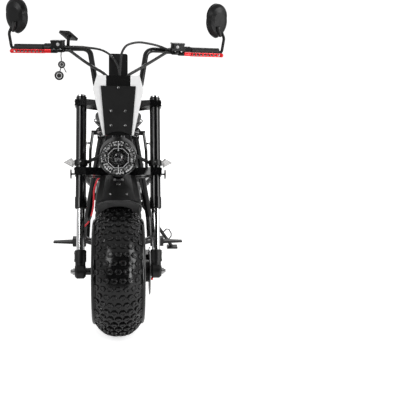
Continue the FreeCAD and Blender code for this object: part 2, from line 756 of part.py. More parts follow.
# Axles: a shaft with a nut at each end and spacers up to the wheel.
def axle(label, centre, outer_face, inner_face, right_hub):
    reach = outer_face + mm.seat_gap + mm.nut_width + mm.axle_end
    shaft = cylinder(label + "_shaft", mm.axle_radius, reach * 2, centre - X_AXIS * float(reach), X_AXIS)
    pieces = [shaft]
    for side in (1, -1):
        nut_start = centre + X_AXIS * (side * float(outer_face + mm.seat_gap))
        pieces.append(cylinder(label + "_nut", mm.nut_radius, mm.nut_width, nut_start, X_AXIS * side))
    left = disc_outer + mm.seat_gap
    right = right_hub + mm.seat_gap
    left_start = centre + X_AXIS * float(left)
    right_start = centre - X_AXIS * float(right)
    left_length = inner_face - mm.seat_gap - left
    right_length = inner_face - mm.seat_gap - right
    pieces.append(cylinder(label + "_left_spacer", mm.spacer_radius, left_length, left_start, X_AXIS))
    pieces.append(cylinder(label + "_right_spacer", mm.spacer_radius, right_length, right_start, X_AXIS * -1))
    return join(label, pieces)


lug_boss_half = mm.lug_radius + mm.lug_boss_stand
lug_inner = mm.leg_side - lug_boss_half
lug_outer = mm.leg_side + lug_boss_half
arm_inner = mm.arm_side - mm.arm_end_thick / 2
arm_outer = mm.arm_side + mm.arm_end_thick / 2
axle("front_axle", front_axle, lug_outer, lug_inner, mm.hub_half_width)
axle("rear_axle", rear_axle, arm_outer, arm_inner, mm.motor_half_width)


# Calipers: a block astride the disc, on the fork bottom in front and on the arm behind.
def caliper(label, axle_spot, direction, upright, bracket):
    middle = mm.disc_radius - mm.caliper_bite + mm.caliper_depth / 2
    centre = axle_spot + X_AXIS * float(mm.disc_side) + direction * float(middle)
    turn = Rotation(X_AXIS, upright, direction, "XZY")
    body = block(label + "_block", mm.caliper_width, mm.caliper_length, mm.caliper_depth, centre, turn)
    slot_radius = mm.disc_radius + mm.disc_slot / 2
    slot_start = axle_spot + X_AXIS * float(mm.disc_side - mm.disc_slot / 2)
    slot = cylinder(label + "_slot", slot_radius, mm.disc_slot, slot_start, X_AXIS)
    return cut(label, join(label + "_body", [body, bracket]), slot)


def along_arm(degrees):
    """A direction in the wheel's plane, measured up from the rear."""
    angle = math.radians(degrees)
    return Vector(0, math.cos(angle), math.sin(angle))


# Fork: upper tubes with a thick collar, bright sliding tubes with their top caps,
# and the fork bottoms that hold the axle.
upper = cylinder(
    "upper_tube", mm.leg_radius, mm.leg_high - mm.leg_low, on_fork(mm.leg_side, 0, mm.leg_low), fork_up
)
collar = cylinder("collar", mm.collar_radius, mm.collar_length, on_fork(mm.leg_side, 0, mm.leg_low), fork_up)
sleeve_radius = mm.stanchion_radius + mm.seat_gap
leg_bore = cylinder(
    "leg_bore", sleeve_radius, mm.leg_bore_depth, on_fork(mm.leg_side, 0, mm.leg_low), fork_up
)
pair("fork_tubes", cut("fork_tube", join("leg", [upper, collar]), leg_bore))

slide_length = mm.leg_low + mm.leg_bore_depth - mm.seat_gap - mm.stanchion_low
slide = cylinder(
    "slide", mm.stanchion_radius, slide_length, on_fork(mm.leg_side, 0, mm.stanchion_low), fork_up
)
cap = cylinder(
    "cap", mm.cap_radius, mm.cap_height, on_fork(mm.leg_side, 0, mm.leg_high + mm.seat_gap), fork_up
)
group("fork_stanchions", [slide, mirrored(slide), cap, mirrored(cap)])

lug = cylinder("lug", mm.lug_radius, mm.lug_high, on_fork(mm.leg_side, 0, 0), fork_up)
lug_collar_start = on_fork(mm.leg_side, 0, mm.lug_high - mm.lug_collar_length)
lug_collar = cylinder("lug_collar", mm.lug_collar_radius, mm.lug_collar_length, lug_collar_start, fork_up)
boss_bevel = mm.lug_boss_radius - mm.lug_boss_bevel
boss_side = [
    (lug_boss_half, 0),
    (lug_boss_half, boss_bevel),
    (lug_boss_half - mm.lug_boss_bevel, mm.lug_boss_radius),
]
boss = turned("axle_boss", both_sides(boss_side), Placement(on_fork(mm.leg_side, 0, 0), Rotation()))
lug_bore_length = mm.lug_high - mm.stanchion_low + mm.seat_gap
lug_bore = cylinder(
    "lug_bore",
    sleeve_radius,
    lug_bore_length,
    on_fork(mm.leg_side, 0, mm.stanchion_low - mm.seat_gap),
    fork_up,
)
axle_bore = cylinder("axle_bore", bore_radius, lug_boss_half * 2, on_fork(lug_inner, 0, 0), X_AXIS)
lug_holes = join("lug_holes", [lug_bore, axle_bore])
pair("fork_bottoms", cut("fork_bottom", join("lug_body", [lug, lug_collar, boss]), lug_holes))

bracket_centre = on_fork(mm.leg_side - mm.lug_radius + 2, 36, 34)
front_bracket = block("front_bracket", 10, 40, 30, bracket_centre, fork_frame.Rotation)
ear_relief = cylinder(
    "ear_relief",
    mm.lug_collar_radius + mm.seat_gap,
    mm.lug_high * 2,
    on_fork(mm.leg_side, 0, -mm.lug_high),
    fork_up,
)
boss_relief = cylinder("boss_relief", mm.lug_boss_radius + mm.seat_gap, 60, front_axle + X_AXIS * 110, X_AXIS)
front_ear = cut("front_ear", front_bracket, join("ear_reliefs", [ear_relief, boss_relief]))
caliper_line = fork_frame.Rotation.multVec(Vector(0, 0.85, 0.53)).normalize()
caliper_across = fork_frame.Rotation.multVec(Vector(0, 0.53, -0.85))
caliper("front_caliper", front_axle, caliper_line, caliper_across, front_ear)


# Clamps: cast plates across both legs, the stem behind them, a slot at each side.
def clamp(label, low, thickness, slot_back):
    reach = mm.clamp_reach
    end = mm.clamp_end_half
    back = mm.clamp_back
    half = [
        (mm.head_ring_radius, back),
        (reach * 0.76, end + 8),
        (reach, end),
        (reach, -end),
        (mm.leg_side - mm.leg_radius, -end - 4),
        (mm.head_ring_radius + 12, -end / 4),
    ]
    slot = [
        (mm.head_ring_radius + 22, slot_back),
        (mm.leg_side - mm.leg_radius - 12, slot_back - 12),
        (mm.leg_side - mm.leg_radius - 12, slot_back - 26),
        (mm.head_ring_radius + 22, slot_back - 22),
    ]
    other_slot = [(-across, up) for across, up in reversed(slot)]
    leg_hole = mm.leg_radius + mm.running_gap
    holes = [
        (mm.leg_side, 0, leg_hole),
        (-mm.leg_side, 0, leg_hole),
        (0, mm.fork_offset, mm.stem_radius + mm.running_gap),
    ]
    placement = fork_frame.multiply(Placement(Vector(0, 0, float(low)), Rotation()))
    return slab(label, [both_sides(half), slot, other_slot], thickness, placement, holes)


clamp("top_clamp", mm.top_clamp_low, mm.top_clamp_thick, mm.fork_offset + 6)
clamp("lower_clamp", mm.lower_clamp_low, mm.lower_clamp_thick, mm.fork_offset + 6)
top_clamp_high = mm.top_clamp_low + mm.top_clamp_thick
lower_clamp_high = mm.lower_clamp_low + mm.lower_clamp_thick

stem_start = on_fork(0, mm.fork_offset, mm.lower_clamp_low)
stem_length = top_clamp_high + mm.stem_nut_height - mm.lower_clamp_low
stem = cylinder("stem", mm.stem_radius, stem_length, stem_start, fork_up)
nut_start = on_fork(0, mm.fork_offset, top_clamp_high + mm.seat_gap)
stem_nut = cylinder("stem_nut", mm.stem_nut_radius, mm.stem_nut_height, nut_start, fork_up)
join("steering_stem", [stem, stem_nut])

# Head tube and backbone: the tube that the stem turns in, its two bearing rings, and
# the spine that runs back under the saddle.
head_low = lower_clamp_high + mm.seat_gap
head_length = mm.top_clamp_low - mm.seat_gap - head_low
head_start = on_fork(0, mm.fork_offset, head_low)
head = cylinder("head", mm.head_radius, head_length, head_start, fork_up)
low_ring = cylinder("low_ring", mm.head_ring_radius, mm.head_ring_height, head_start, fork_up)
high_ring_start = on_fork(0, mm.fork_offset, mm.top_clamp_low - mm.seat_gap)
high_ring = cylinder("high_ring", mm.head_ring_radius, mm.head_ring_height, high_ring_start, fork_up * -1)
pan_low = mm.saddle_low - mm.seat_gap - mm.pan_thick
spine_top_up = pan_low - mm.seat_gap - mm.spine_radius
saddle_tail_back = pivot_back + mm.saddle_tail
saddle_nose_back = saddle_tail_back - mm.saddle_length
spine_reach = pivot_back - mm.spine_low_back
spine_points = [
    on_fork(0, mm.fork_offset, lower_clamp_high + mm.spine_rise),
    spot(0, mm.spine_low_back, mm.spine_low_up),
    spot(0, mm.spine_low_back + spine_reach * 0.47, mm.spine_middle_up),
    spot(0, mm.spine_low_back + spine_reach * 0.74, spine_top_up),
    spot(0, saddle_tail_back + 60, spine_top_up),
]
spine_bends = [mm.spine_bend] * 3
spine = bent_tube("spine", spine_points, spine_bends, mm.spine_radius)
shock_top_back = pivot_back - mm.shock_top_ahead
shock_low_back = pivot_back + mm.shock_low_behind
cross_reach = mm.shock_side + mm.shock_eye_width / 2 + 4
cross_pin = cylinder(
    "cross_pin",
    mm.shock_pin_radius,
    cross_reach * 2,
    spot(-cross_reach, shock_top_back, spine_top_up),
    X_AXIS,
)
cross_tube_reach = mm.shock_side - mm.shock_eye_width / 2 - mm.seat_gap
cross_tube_start = spot(-cross_tube_reach, shock_top_back, spine_top_up)
cross_tube = cylinder("cross_tube", mm.shock_eye_radius, cross_tube_reach * 2, cross_tube_start, X_AXIS)
head_bore = cylinder("head_bore", mm.stem_radius + mm.running_gap, head_length, head_start, fork_up)
cut("frame_spine", join("spine_body", [head, low_ring, high_ring, spine, cross_pin, cross_tube]), head_bore)

# Cradle: two tubes from the spine down and back under the battery to the pivot sleeve.
cradle_points = [
    spot(0, mm.spine_low_back + 16, mm.spine_low_up),
    spot(mm.cradle_side, mm.cradle_front, 400),
    spot(mm.cradle_side, mm.cradle_front, mm.cradle_up),
    spot(mm.cradle_side, pivot_back - 20, mm.cradle_up),
    spot(mm.cradle_side, pivot_back, mm.pivot_up),
]
cradle_bends = [70, 40, 30]
loop = bent_tube("cradle_loop", cradle_points, cradle_bends, mm.cradle_radius)
spine_room = bent_tube("spine_room", spine_points, spine_bends, mm.spine_radius + mm.seat_gap)
pivot_start = spot(-mm.pivot_half, pivot_back, mm.pivot_up)
pivot_room = cylinder("pivot_room", mm.pivot_radius + mm.seat_gap, mm.pivot_half * 2, pivot_start, X_AXIS)
coped_loop = cut("coped_loop", loop, join("cradle_room", [spine_room, pivot_room]))
pair("frame_cradle", coped_loop)

# Rails: an outer one each side from the tail to the footpeg and in to the cradle, and
# an inner one from the tail to the pivot sleeve. The outer one holds the shock absorber.
arm_points = [
    spot(118, pivot_back, mm.pivot_up),
    spot(124, pivot_back + 95, mm.pivot_up + 22),
    spot(mm.arm_side, pivot_back + 195, mm.pivot_up + 36),
    spot(mm.arm_side, mm.wheelbase, mm.tyre_radius),
]
arm_bends = [90, 90]
arm_room = bent_tube("arm_room", arm_points, arm_bends, mm.arm_radius + mm.seat_gap)
outer_points = [
    spot(82, pivot_back + 225, spine_top_up + 2),
    spot(88, pivot_back + 105, spine_top_up - 66),
    spot(mm.rail_side, mm.peg_back * 0.614 + pivot_back * 0.386, mm.rail_up + 53),
    spot(mm.rail_side, mm.peg_back, mm.rail_up),
    spot(mm.cradle_side, mm.cradle_front + 4, mm.rail_up - 6),
]
outer_bends = [120, 120, 30]
outer_rail = bent_tube("outer_rail", outer_points, outer_bends, mm.rail_radius)
rail_line = (outer_points[2] - outer_points[1]).normalize()
rail_over = X_AXIS.cross(rail_line).normalize()
rail_over = rail_over if rail_over.z > 0 else rail_over * -1
rail_run = (float(front_y + shock_low_back) - outer_points[1].y) / rail_line.y
under_low_eye = outer_points[1] + rail_line * rail_run
shock_low = under_low_eye + rail_over * float(mm.rail_radius + mm.shock_eye_radius + 2)
shock_low.x = float(mm.shock_side)
shock_top = spot(mm.shock_side, shock_top_back, spine_top_up)
shock_line = (shock_low - shock_top).normalize()
shock_span = (shock_low - shock_top).Length
pin_reach = mm.shock_eye_width / 2 + 7
pin_start = shock_low - X_AXIS * float(pin_reach)
shock_parts = [cylinder("low_pin", mm.shock_pin_radius, pin_reach * 2, pin_start, X_AXIS)]
ear_turn = Rotation(X_AXIS, rail_line, rail_over, "XYZ")
for side in (1, -1):
    ear_place = shock_low + X_AXIS * (side * float(mm.shock_eye_width / 2 + 3.3)) - rail_over * 12
    shock_parts.append(block("shock_ear", 6, 22, 40, ear_place, ear_turn))
cradle_room = bent_tube("cradle_clear", cradle_points, cradle_bends, mm.cradle_radius + mm.seat_gap)
outer_coped = cut("outer_coped", join("outer_body", [outer_rail] + shock_parts), cradle_room)
inner_points = [
    spot(44, pivot_back + 300, mm.tail_up - 10),
    spot(50, pivot_back + 245, mm.tail_up - 69),
    spot(100, pivot_back + 6, mm.pivot_up + 10),
]
inner_bends = [200]
inner_rail = bent_tube("inner_rail", inner_points, inner_bends, mm.rail_radius)
inner_room = cylinder("inner_room", mm.pivot_radius + mm.seat_gap, mm.pivot_half * 2, pivot_start, X_AXIS)
inner_coped = cut("inner_coped", inner_rail, join("inner_rooms", [inner_room, arm_room]))
group("frame_rails", [outer_coped, mirrored(outer_coped), inner_coped, mirrored(inner_coped)])

# Battery case on the cradle.
battery_low = mm.cradle_up + mm.cradle_radius + mm.seat_gap
battery_length = pivot_back - mm.battery_clear - mm.battery_front
battery_centre = spot(0, mm.battery_front + battery_length / 2, battery_low + mm.battery_height / 2)
block("battery_case", mm.battery_half * 2, battery_length, mm.battery_height, battery_centre)

# Swingarm: a sleeve across the frame and a tube each side out round the wheel to the
# axle plates. It stands still here, as do the shock absorbers above it.
sleeve = cylinder("pivot_sleeve", mm.pivot_radius, mm.pivot_half * 2, pivot_start, X_AXIS)
arm = bent_tube("arm", arm_points, arm_bends, mm.arm_radius)
plate = cylinder(
    "axle_plate", mm.arm_end_radius, mm.arm_end_thick, rear_axle + X_AXIS * float(arm_inner), X_AXIS
)
trim_inside = block("trim_inside", 60, 120, 120, rear_axle + X_AXIS * float(arm_inner - 30))
trim_outside = block("trim_outside", 60, 120, 120, rear_axle + X_AXIS * float(arm_outer + 30))
arm_trimmed = cut("arm_trimmed", arm, join("arm_trims", [trim_inside, trim_outside]))
arms = join("arms", [sleeve, arm_trimmed, plate, mirrored(arm_trimmed), mirrored(plate)])
rear_bore = cylinder("rear_axle_bore", bore_radius, 400, rear_axle - X_AXIS * 200, X_AXIS)
cut("swingarm", arms, rear_bore)

rear_ear = block("rear_ear", 16, 30, 40, spot(144, mm.wheelbase - 92, mm.tyre_radius + 52))
rear_ear_coped = cut("rear_ear_coped", rear_ear, arm_room)
caliper("rear_caliper", rear_axle, along_arm(135), along_arm(45), rear_ear_coped)

# Shock absorbers: a body and a rod between two eyes, with a spring round them.
damper = cylinder("damper", mm.shock_body_radius, shock_span * 0.5, shock_low, shock_line * -1)
rod = cylinder("rod", mm.shock_rod_radius, shock_span, shock_top, shock_line)
spring_start = float(mm.shock_eye_radius) + 9
top_cup = cylinder(
    "top_cup", mm.spring_radius + 2, 6, shock_top + shock_line * (spring_start - 6.3), shock_line
)
low_cup_start = shock_top + shock_line * (spring_start + mm.spring_length.value + 0.3)
low_cup = cylinder("low_cup", mm.spring_radius + 2, 6, low_cup_start, shock_line)
eyes = []
eye_bores = []
for end in (shock_top, shock_low):
    eye_start = end - X_AXIS * float(mm.shock_eye_width / 2)
    eyes.append(cylinder("eye", mm.shock_eye_radius, mm.shock_eye_width, eye_start, X_AXIS))
    eye_bores.append(
        cylinder("eye_bore", mm.shock_pin_radius + mm.running_gap, mm.shock_eye_width, eye_start, X_AXIS)
    )
shock = join("shock", eyes + [damper, rod, top_cup, low_cup])
pair("rear_shocks", cut("shock_bored", shock, join("shock_bores", eye_bores)))

pitch = mm.spring_length / mm.spring_turns
groove = mm.spring_radius - mm.spring_wire / 2
spring_core = mm.shock_body_radius + mm.seat_gap
spring_section = [(0, spring_core), (0, groove)]
for index in range(int(mm.spring_turns.value)):
    spring_section.append((pitch * (index + 0.5), mm.spring_radius))
    spring_section.append((pitch * (index + 1), groove))
spring_section.append((mm.spring_length, spring_core))
spring = turned(
    "spring", spring_section, Placement(shock_top + shock_line * spring_start, Rotation(X_AXIS, shock_line))
)
pair("shock_springs", spring)

# Saddle and its pan on the spine.
nose = mm.saddle_nose_half


def saddle_outline(inset):
    """Half the plan of the saddle from its tail to its nose, drawn behind the front axle."""
    return [
        (0, saddle_tail_back - inset),
        (mm.saddle_half * 0.7 - inset, saddle_tail_back - 34 - inset),
        (mm.saddle_half - inset, saddle_tail_back - 96),
        (mm.saddle_half * 0.86 - inset, saddle_tail_back - 176),
        (nose + 22 - inset, saddle_nose_back + 110),
        (nose - inset, saddle_nose_back + 30),
        (nose * 0.55, saddle_nose_back + inset),
    ]


def whole(half):
    """Both halves of an outline whose first corner is on the middle line."""
    return half + [(-across, back) for across, back in reversed(half[1:])]


def plan(up):
    return Placement(spot(0, 0, up), Rotation())


slab("saddle", [whole(saddle_outline(0))], mm.saddle_thick, plan(mm.saddle_low))
slab("saddle_pan", [whole(saddle_outline(mm.pan_inset))], mm.pan_thick, plan(pan_low))

# Tail: a hoop from the end of the spine to the light, the light, and the grey panel
# with its dark channel between the inner rails.
hoop_up = 726
tail_back = pivot_back + mm.tail_behind
hoop_points = [
    spot(46, tail_back + 4, mm.tail_up + 14),
    spot(34, tail_back - 90, hoop_up),
    spot(0, saddle_tail_back + 46, hoop_up),
]
hoop_side = bent_tube("hoop_side", hoop_points, [60], mm.hoop_radius)
post = cylinder("hoop_post", mm.hoop_radius, 60, spot(0, saddle_tail_back + 46, hoop_up - 60), Z_AXIS)
post_room = bent_tube("post_room", spine_points, spine_bends, mm.spine_radius + mm.seat_gap)
housing_room = block("housing_room", 200, 40, 100, spot(0, tail_back - mm.seat_gap + 20, mm.tail_up + 20))
cut(
    "tail_hoop",
    join("hoop_body", [hoop_side, mirrored(hoop_side), post]),
    join("hoop_room", [post_room, housing_room]),
)
tail_centre = spot(0, tail_back + mm.tail_depth / 2, mm.tail_up + mm.tail_height / 2)
block("tail_housing", mm.tail_half * 2, mm.tail_depth, mm.tail_height, tail_centre)
lens_back = tail_back + mm.tail_depth + mm.seat_gap + mm.tail_lens_thick / 2
block(
    "tail_lens",
    mm.tail_lens_half * 2,
    mm.tail_lens_thick,
    mm.tail_lens_height,
    spot(0, lens_back, mm.tail_up + 28),
)

cover_turn = Rotation(X_AXIS, 42)
cover_half = [(36, 0), (70, -275)]
cover_place = Placement(spot(0, pivot_back + 291, mm.tail_up - 8), cover_turn)
cover_plate = slab("cover_plate", [both_sides(cover_half)], 4, cover_place)
inner_clear = bent_tube("inner_clear", inner_points, inner_bends, mm.rail_radius + mm.seat_gap)
cut("tail_cover", cover_plate, join("cover_room", [inner_clear, mirrored(inner_clear)]))


# Mudguards: a crowned band round part of the wheel, with a skirt down each side.
def crown(half, raised):
    """The inner face of a mudguard across the wheel, raised by part of the wall."""
    flat = half * mm.guard_crown_share
    return [(half, guard_inner + raised), (flat, guard_inner + mm.guard_rise + raised)]


def mudguard(label, centre, half, skirt, lip, tail):
    wall = mm.guard_wall
    edge = guard_inner - skirt
    outer = [(half + wall, edge), (half + wall, guard_inner + wall / 2)]
    outer.append((half * mm.guard_crown_share + 2, guard_inner + mm.guard_rise + wall))
    inner = [(half, edge)] + crown(half, 0)
    inside = [(-across, up) for across, up in inner] + inner[::-1]
    section = both_sides(outer) + inside
    return turned(label, section, Placement(centre, Rotation(X_AXIS, float(tail))), lip - tail)


mudguard("rear_mudguard", rear_axle, mm.guard_half, mm.guard_skirt, mm.rear_guard_lip, mm.rear_guard_tail)
front_band = mudguard(
    "front_guard_band",
    front_axle,
    mm.front_guard_half,
    mm.front_guard_skirt,
    mm.front_guard_lip,
    mm.front_guard_tail,
)

# The front one hangs from the lower clamp by a folded plate that slopes down to its lip.
lip_lean = math.radians(mm.front_guard_lip.value + mm.rake.value - 90)
lip_along = float(guard_crown) * math.cos(lip_lean)
lip_ahead = float(guard_crown) * math.sin(lip_lean)


def brace_outline(half, ahead):
    """The folded plate cut level: its front, and its two sides turned back."""
    wing = mm.guard_brace_wing
    wall = mm.guard_wall + 1
    outer = [(half + wing, wing - ahead), (half, -ahead)]
    inner = [(half + wing - wall * 1.4, wing - ahead), (half - wall * 0.4, wall - ahead)]
    return both_sides(outer) + [(-across, behind) for across, behind in inner] + inner[::-1]


brace_sections = [
    (mm.lower_clamp_low - mm.seat_gap, brace_outline(mm.guard_brace_top, mm.guard_brace_ahead)),
    (lip_along + 1, brace_outline(mm.guard_brace_foot, lip_ahead - 1)),
]
brace = lofted("guard_brace", brace_sections, fork_frame)
under_crown = [(mm.front_guard_half, 0)] + crown(mm.front_guard_half, mm.guard_wall / 2)
guard_room = turned("guard_room", both_sides(under_crown), Placement(front_axle, Rotation()))
join("front_mudguard", [front_band, cut("guard_brace_cut", brace, guard_room)])

# Number plate, and the holder that carries it and the indicators behind the wheel.
number_plate_front = number_plate_back - mm.number_plate_thick
plate_holes = [
    (side * mm.plate_hole_width / 2, up * mm.plate_hole_height / 2, mm.plate_hole_radius)
    for side in (1, -1)
    for up in (1, -1)
]
plate_half = [(mm.plate_width / 2, mm.plate_height / 2), (mm.plate_width / 2, -mm.plate_height / 2)]
plate_place = Placement(spot(0, number_plate_back, mm.number_plate_up), Rotation(X_AXIS, 90))
slab("number_plate", [both_sides(plate_half)], mm.number_plate_thick, plate_place, plate_holes)

holder_up = 470
holder_back = number_plate_front - mm.seat_gap
block_depth = 80
holder_block = block("holder_block", 60, block_depth, 40, spot(0, holder_back - block_depth / 2, holder_up))
cross_arm = block("cross_arm", 330, 14, 26, spot(0, holder_back - 7, holder_up))
stay_points = [
    spot(156, holder_back - 10, holder_up),
    spot(mm.arm_side, mm.wheelbase + 150, mm.tyre_radius + 134),
    spot(mm.arm_side, mm.wheelbase, mm.tyre_radius),
]
stay = bent_tube("holder_stay", stay_points, [60], 9)
holder_body = join("holder_body", [holder_block, cross_arm, stay, mirrored(stay)])
wheel_room = cylinder(
    "wheel_room",
    guard_crown + mm.seat_gap,
    mm.guard_half * 2 + 16,
    rear_axle - X_AXIS * float(mm.guard_half + 8),
    X_AXIS,
)
end_room = cylinder("end_room", mm.arm_end_radius + mm.seat_gap, 400, rear_axle - X_AXIS * 200, X_AXIS)
cut("plate_holder", holder_body, join("holder_room", [wheel_room, end_room]))


# Indicators: a short stalk and a four-cornered lamp that narrows to the front and back.
LAMP_CORNERS = ((0.5, 0.0), (-0.18, 0.48), (-0.5, 0.09), (-0.34, -0.52))


def lamp_outline(share):
    """The lamp seen from the front about its middle, its tip to the outside."""
    wide = mm.indicator_length * share
    tall = mm.indicator_tall * share
    return [(wide * across, tall * up) for across, up in LAMP_CORNERS]


def indicator(label, tip_side, root_side, plane):
    middle = tip_side - mm.indicator_length / 2
    place = plane.multiply(Placement(Vector(middle.value, 0, mm.indicator_deep.value / -2), Rotation()))
    sections = [
        (0, lamp_outline(0.62)),
        (mm.indicator_deep / 2, lamp_outline(1)),
        (mm.indicator_deep, lamp_outline(0.62)),
    ]
    stalk = cylinder(label + "_stalk", 6, middle - root_side, plane.multVec(X_AXIS * root_side.value), X_AXIS)
    return join(label, [stalk, lofted(label + "_lens", sections, place)])


upright_fork = fork_frame.Rotation.multiply(Rotation(X_AXIS, 90))
on_stay = stay_points[0] * 0.39 + stay_points[1] * 0.61
on_stay.x = 0
rear_lamp = indicator(
    "rear_lamp", mm.rear_indicator_tip, mm.arm_side, Placement(on_stay, Rotation(X_AXIS, 90))
)
stay_room = bent_tube("stay_room", stay_points, [60], 9 + mm.seat_gap)
pair("rear_indicators", cut("rear_lamp_coped", rear_lamp, stay_room))
lamp_plane = Placement(on_fork(0, -8, mm.leg_ring_along), upright_fork)
front_lamp = indicator("front_lamp", mm.front_indicator_tip, mm.leg_side + 4, lamp_plane)
leg_room = cylinder("leg_room", mm.leg_radius + mm.seat_gap, mm.leg_high, on_fork(mm.leg_side, 0, 0), fork_up)
ring_reach = mm.leg_radius + mm.leg_ring_wall + mm.seat_gap
ring_room = cylinder("ring_room", ring_reach, mm.leg_high, on_fork(mm.leg_side, 0, 0), fork_up)
pair("front_indicators", cut("front_lamp_coped", front_lamp, ring_room))

# Reflectors on short stalks from the ends of the lower clamp.
stalk_length = mm.reflector_side - mm.clamp_reach - mm.seat_gap + 1
reflector_stalk = cylinder(
    "reflector_stalk",
    4,
    stalk_length,
    on_fork(mm.clamp_reach + mm.seat_gap, -10, mm.lower_clamp_low + 5),
    X_AXIS,
)
reflector_disc = cylinder(
    "reflector_disc",
    mm.reflector_radius,
    mm.reflector_thick,
    on_fork(mm.reflector_side, -10, mm.lower_clamp_low + 5),
    X_AXIS,
)
pair("reflectors", join("reflector", [reflector_stalk, reflector_disc]))

# Headlight: a round case on the lower clamp, with an arm to a ring on each leg. Inside
# are the parts of a light ring, an eight-sided frame with a cross, and a round lens.
lamp_up = mm.tyre_radius + mm.lamp_up
lamp_start = spot(0, mm.lamp_front, lamp_up)
case_drum = cylinder("case_drum", mm.lamp_radius, mm.lamp_depth, lamp_start, Y_AXIS)
case_back = cone(
    "case_back",
    mm.lamp_radius,
    mm.lamp_radius * 0.46,
    26,
    lamp_start + Y_AXIS * float(mm.lamp_depth),
    Y_AXIS,
)
clamp_front = -mm.clamp_end_half / 4
foot_start = clamp_front - mm.seat_gap - 30
lamp_foot = block(
    "lamp_foot", 44, 60, 22, on_fork(0, foot_start, mm.lower_clamp_low + 15), fork_frame.Rotation
)
ring_start = on_fork(mm.leg_side, 0, mm.leg_ring_along - mm.leg_ring_height / 2)
leg_ring = cylinder("leg_ring", mm.leg_radius + mm.leg_ring_wall, mm.leg_ring_height, ring_start, fork_up)
arm_start = spot(mm.lamp_radius - 6, mm.lamp_front + mm.lamp_depth * 0.7, lamp_up)
arm_end = on_fork(mm.leg_side - mm.leg_radius, -4, mm.leg_ring_along)
lamp_arm = cylinder("lamp_arm", 7, (arm_end - arm_start).Length, arm_start, (arm_end - arm_start).normalize())
recess_radius = mm.lamp_ring_outer + 2
recess = cylinder("lamp_recess", recess_radius, mm.lamp_recess, lamp_start, Y_AXIS)
lamp_hold = cut("lamp_hold", join("lamp_side", [leg_ring, lamp_arm]), leg_room)
case_parts = [case_drum, case_back, lamp_foot, lamp_hold, mirrored(lamp_hold)]
cut("headlight_case", join("lamp_body", case_parts), recess)

behind_glass = Rotation(X_AXIS, 90)
lamp_floor = spot(0, mm.lamp_front + mm.lamp_recess - mm.seat_gap, lamp_up)
base_thick = 5


def in_lamp(turn=0.0):
    """A plane on the floor of the headlight that faces ahead, turned about its middle."""
    place = Placement(lamp_floor - Y_AXIS * (base_thick - 1), behind_glass)
    return place.multiply(Placement(Vector(0, 0, 0), Rotation(Z_AXIS, turn)))


def polar(radius, degrees):
    angle = math.radians(degrees)
    return radius * math.cos(angle), radius * math.sin(angle)


insert = [cylinder("lamp_base", recess_radius - mm.seat_gap, base_thick, lamp_floor, Y_AXIS * -1)]
step = 360.0 / mm.lamp_ring_parts.value
ring_part = [
    polar(mm.lamp_ring_inner, -step * 0.43),
    polar(mm.lamp_ring_outer, -step * 0.43),
    polar(mm.lamp_ring_outer, step * 0.43) + (polar(mm.lamp_ring_outer, 0),),
    polar(mm.lamp_ring_inner, step * 0.43),
]
ring_part[0] += (polar(mm.lamp_ring_inner, 0),)
for index in range(int(mm.lamp_ring_parts.value)):
    insert.append(slab("ring_part", [ring_part], mm.lamp_recess * 0.6, in_lamp(step * index)))
frame_outer = [polar(mm.lamp_frame, 22.5 + 45 * index) for index in range(8)]
frame_inner = [polar(mm.lamp_frame - 6, 22.5 + 45 * index) for index in range(8)]
insert.append(slab("lamp_frame", [frame_outer, frame_inner], mm.lamp_recess * 0.7, in_lamp()))
for turn in (0, 90):
    bar = [(mm.lamp_frame - 5, 3), (mm.lamp_frame - 5, -3)]
    insert.append(slab("lamp_cross", [both_sides(bar)], mm.lamp_recess * 0.5, in_lamp(turn)))
lens_rise = mm.projector_radius * 0.3
lens_edge = mm.lamp_recess * 0.6
projector_side = [
    (0, 0),
    (0, mm.projector_radius),
    (lens_edge, mm.projector_radius),
    (lens_edge + lens_rise, 0, (lens_edge + lens_rise * 0.76, mm.projector_radius * 0.5)),
]
ahead = Rotation(Y_AXIS * -1, X_AXIS, Z_AXIS, "XZY")
insert.append(turned("projector", projector_side, Placement(lamp_floor - Y_AXIS * 3, ahead)))
join("lamp_insert", insert)
glass_start = lamp_start - Y_AXIS * float(mm.lamp_glass_thick + mm.seat_gap)
cylinder("headlight_glass", mm.lamp_glass_radius, mm.lamp_glass_thick, glass_start, Y_AXIS)


# White fairing across the front of the fork, its sides turned back, and the dark
# plate on it with an arch over the headlight.
def facing(ahead):
    """A plane in front of the legs: its X to the left, its Y up along the fork."""
    return Placement(on_fork(0, -ahead.value, 0), upright_fork)


fairing_half = [
    (mm.fairing_top_half, mm.fairing_top),
    (mm.fairing_wide_half, mm.fairing_wide),
    (mm.fairing_low_half, mm.fairing_low),
]
shell_place = facing(mm.fairing_ahead - mm.fairing_thick)
shell = slab("fairing_front", [both_sides(fairing_half)], mm.fairing_thick, shell_place)
wing_outline = fairing_half + [(across - mm.fairing_thick, up) for across, up in fairing_half[::-1]]
sweep = math.radians(mm.rake.value - mm.fairing_drop.value)
swept_back = Vector(0, math.sin(sweep), -math.cos(sweep))
wing = slab("fairing_side", [wing_outline], mm.fairing_wing, shell_place, lean=swept_back)
tongue_depth = mm.fairing_ahead - mm.fairing_thick + clamp_front - mm.seat_gap
tongue_up = mm.top_clamp_low + 12
tongue_middle = clamp_front - mm.seat_gap - (tongue_depth + 1) / 2
tongue = block(
    "fairing_tongue", 60, tongue_depth + 1, 10, on_fork(0, tongue_middle, tongue_up), fork_frame.Rotation
)
join("fairing", [shell, wing, mirrored(wing), tongue])
plate_outline = [
    (-mm.plate_top_half, mm.plate_top),
    (-mm.plate_low_half, mm.plate_low),
    (mm.plate_low_half, mm.plate_low, (0, mm.plate_low + mm.plate_arch)),
    (mm.plate_top_half, mm.plate_top),
]
slab("front_plate", [plate_outline], mm.plate_thick, facing(mm.fairing_ahead + mm.seat_gap))

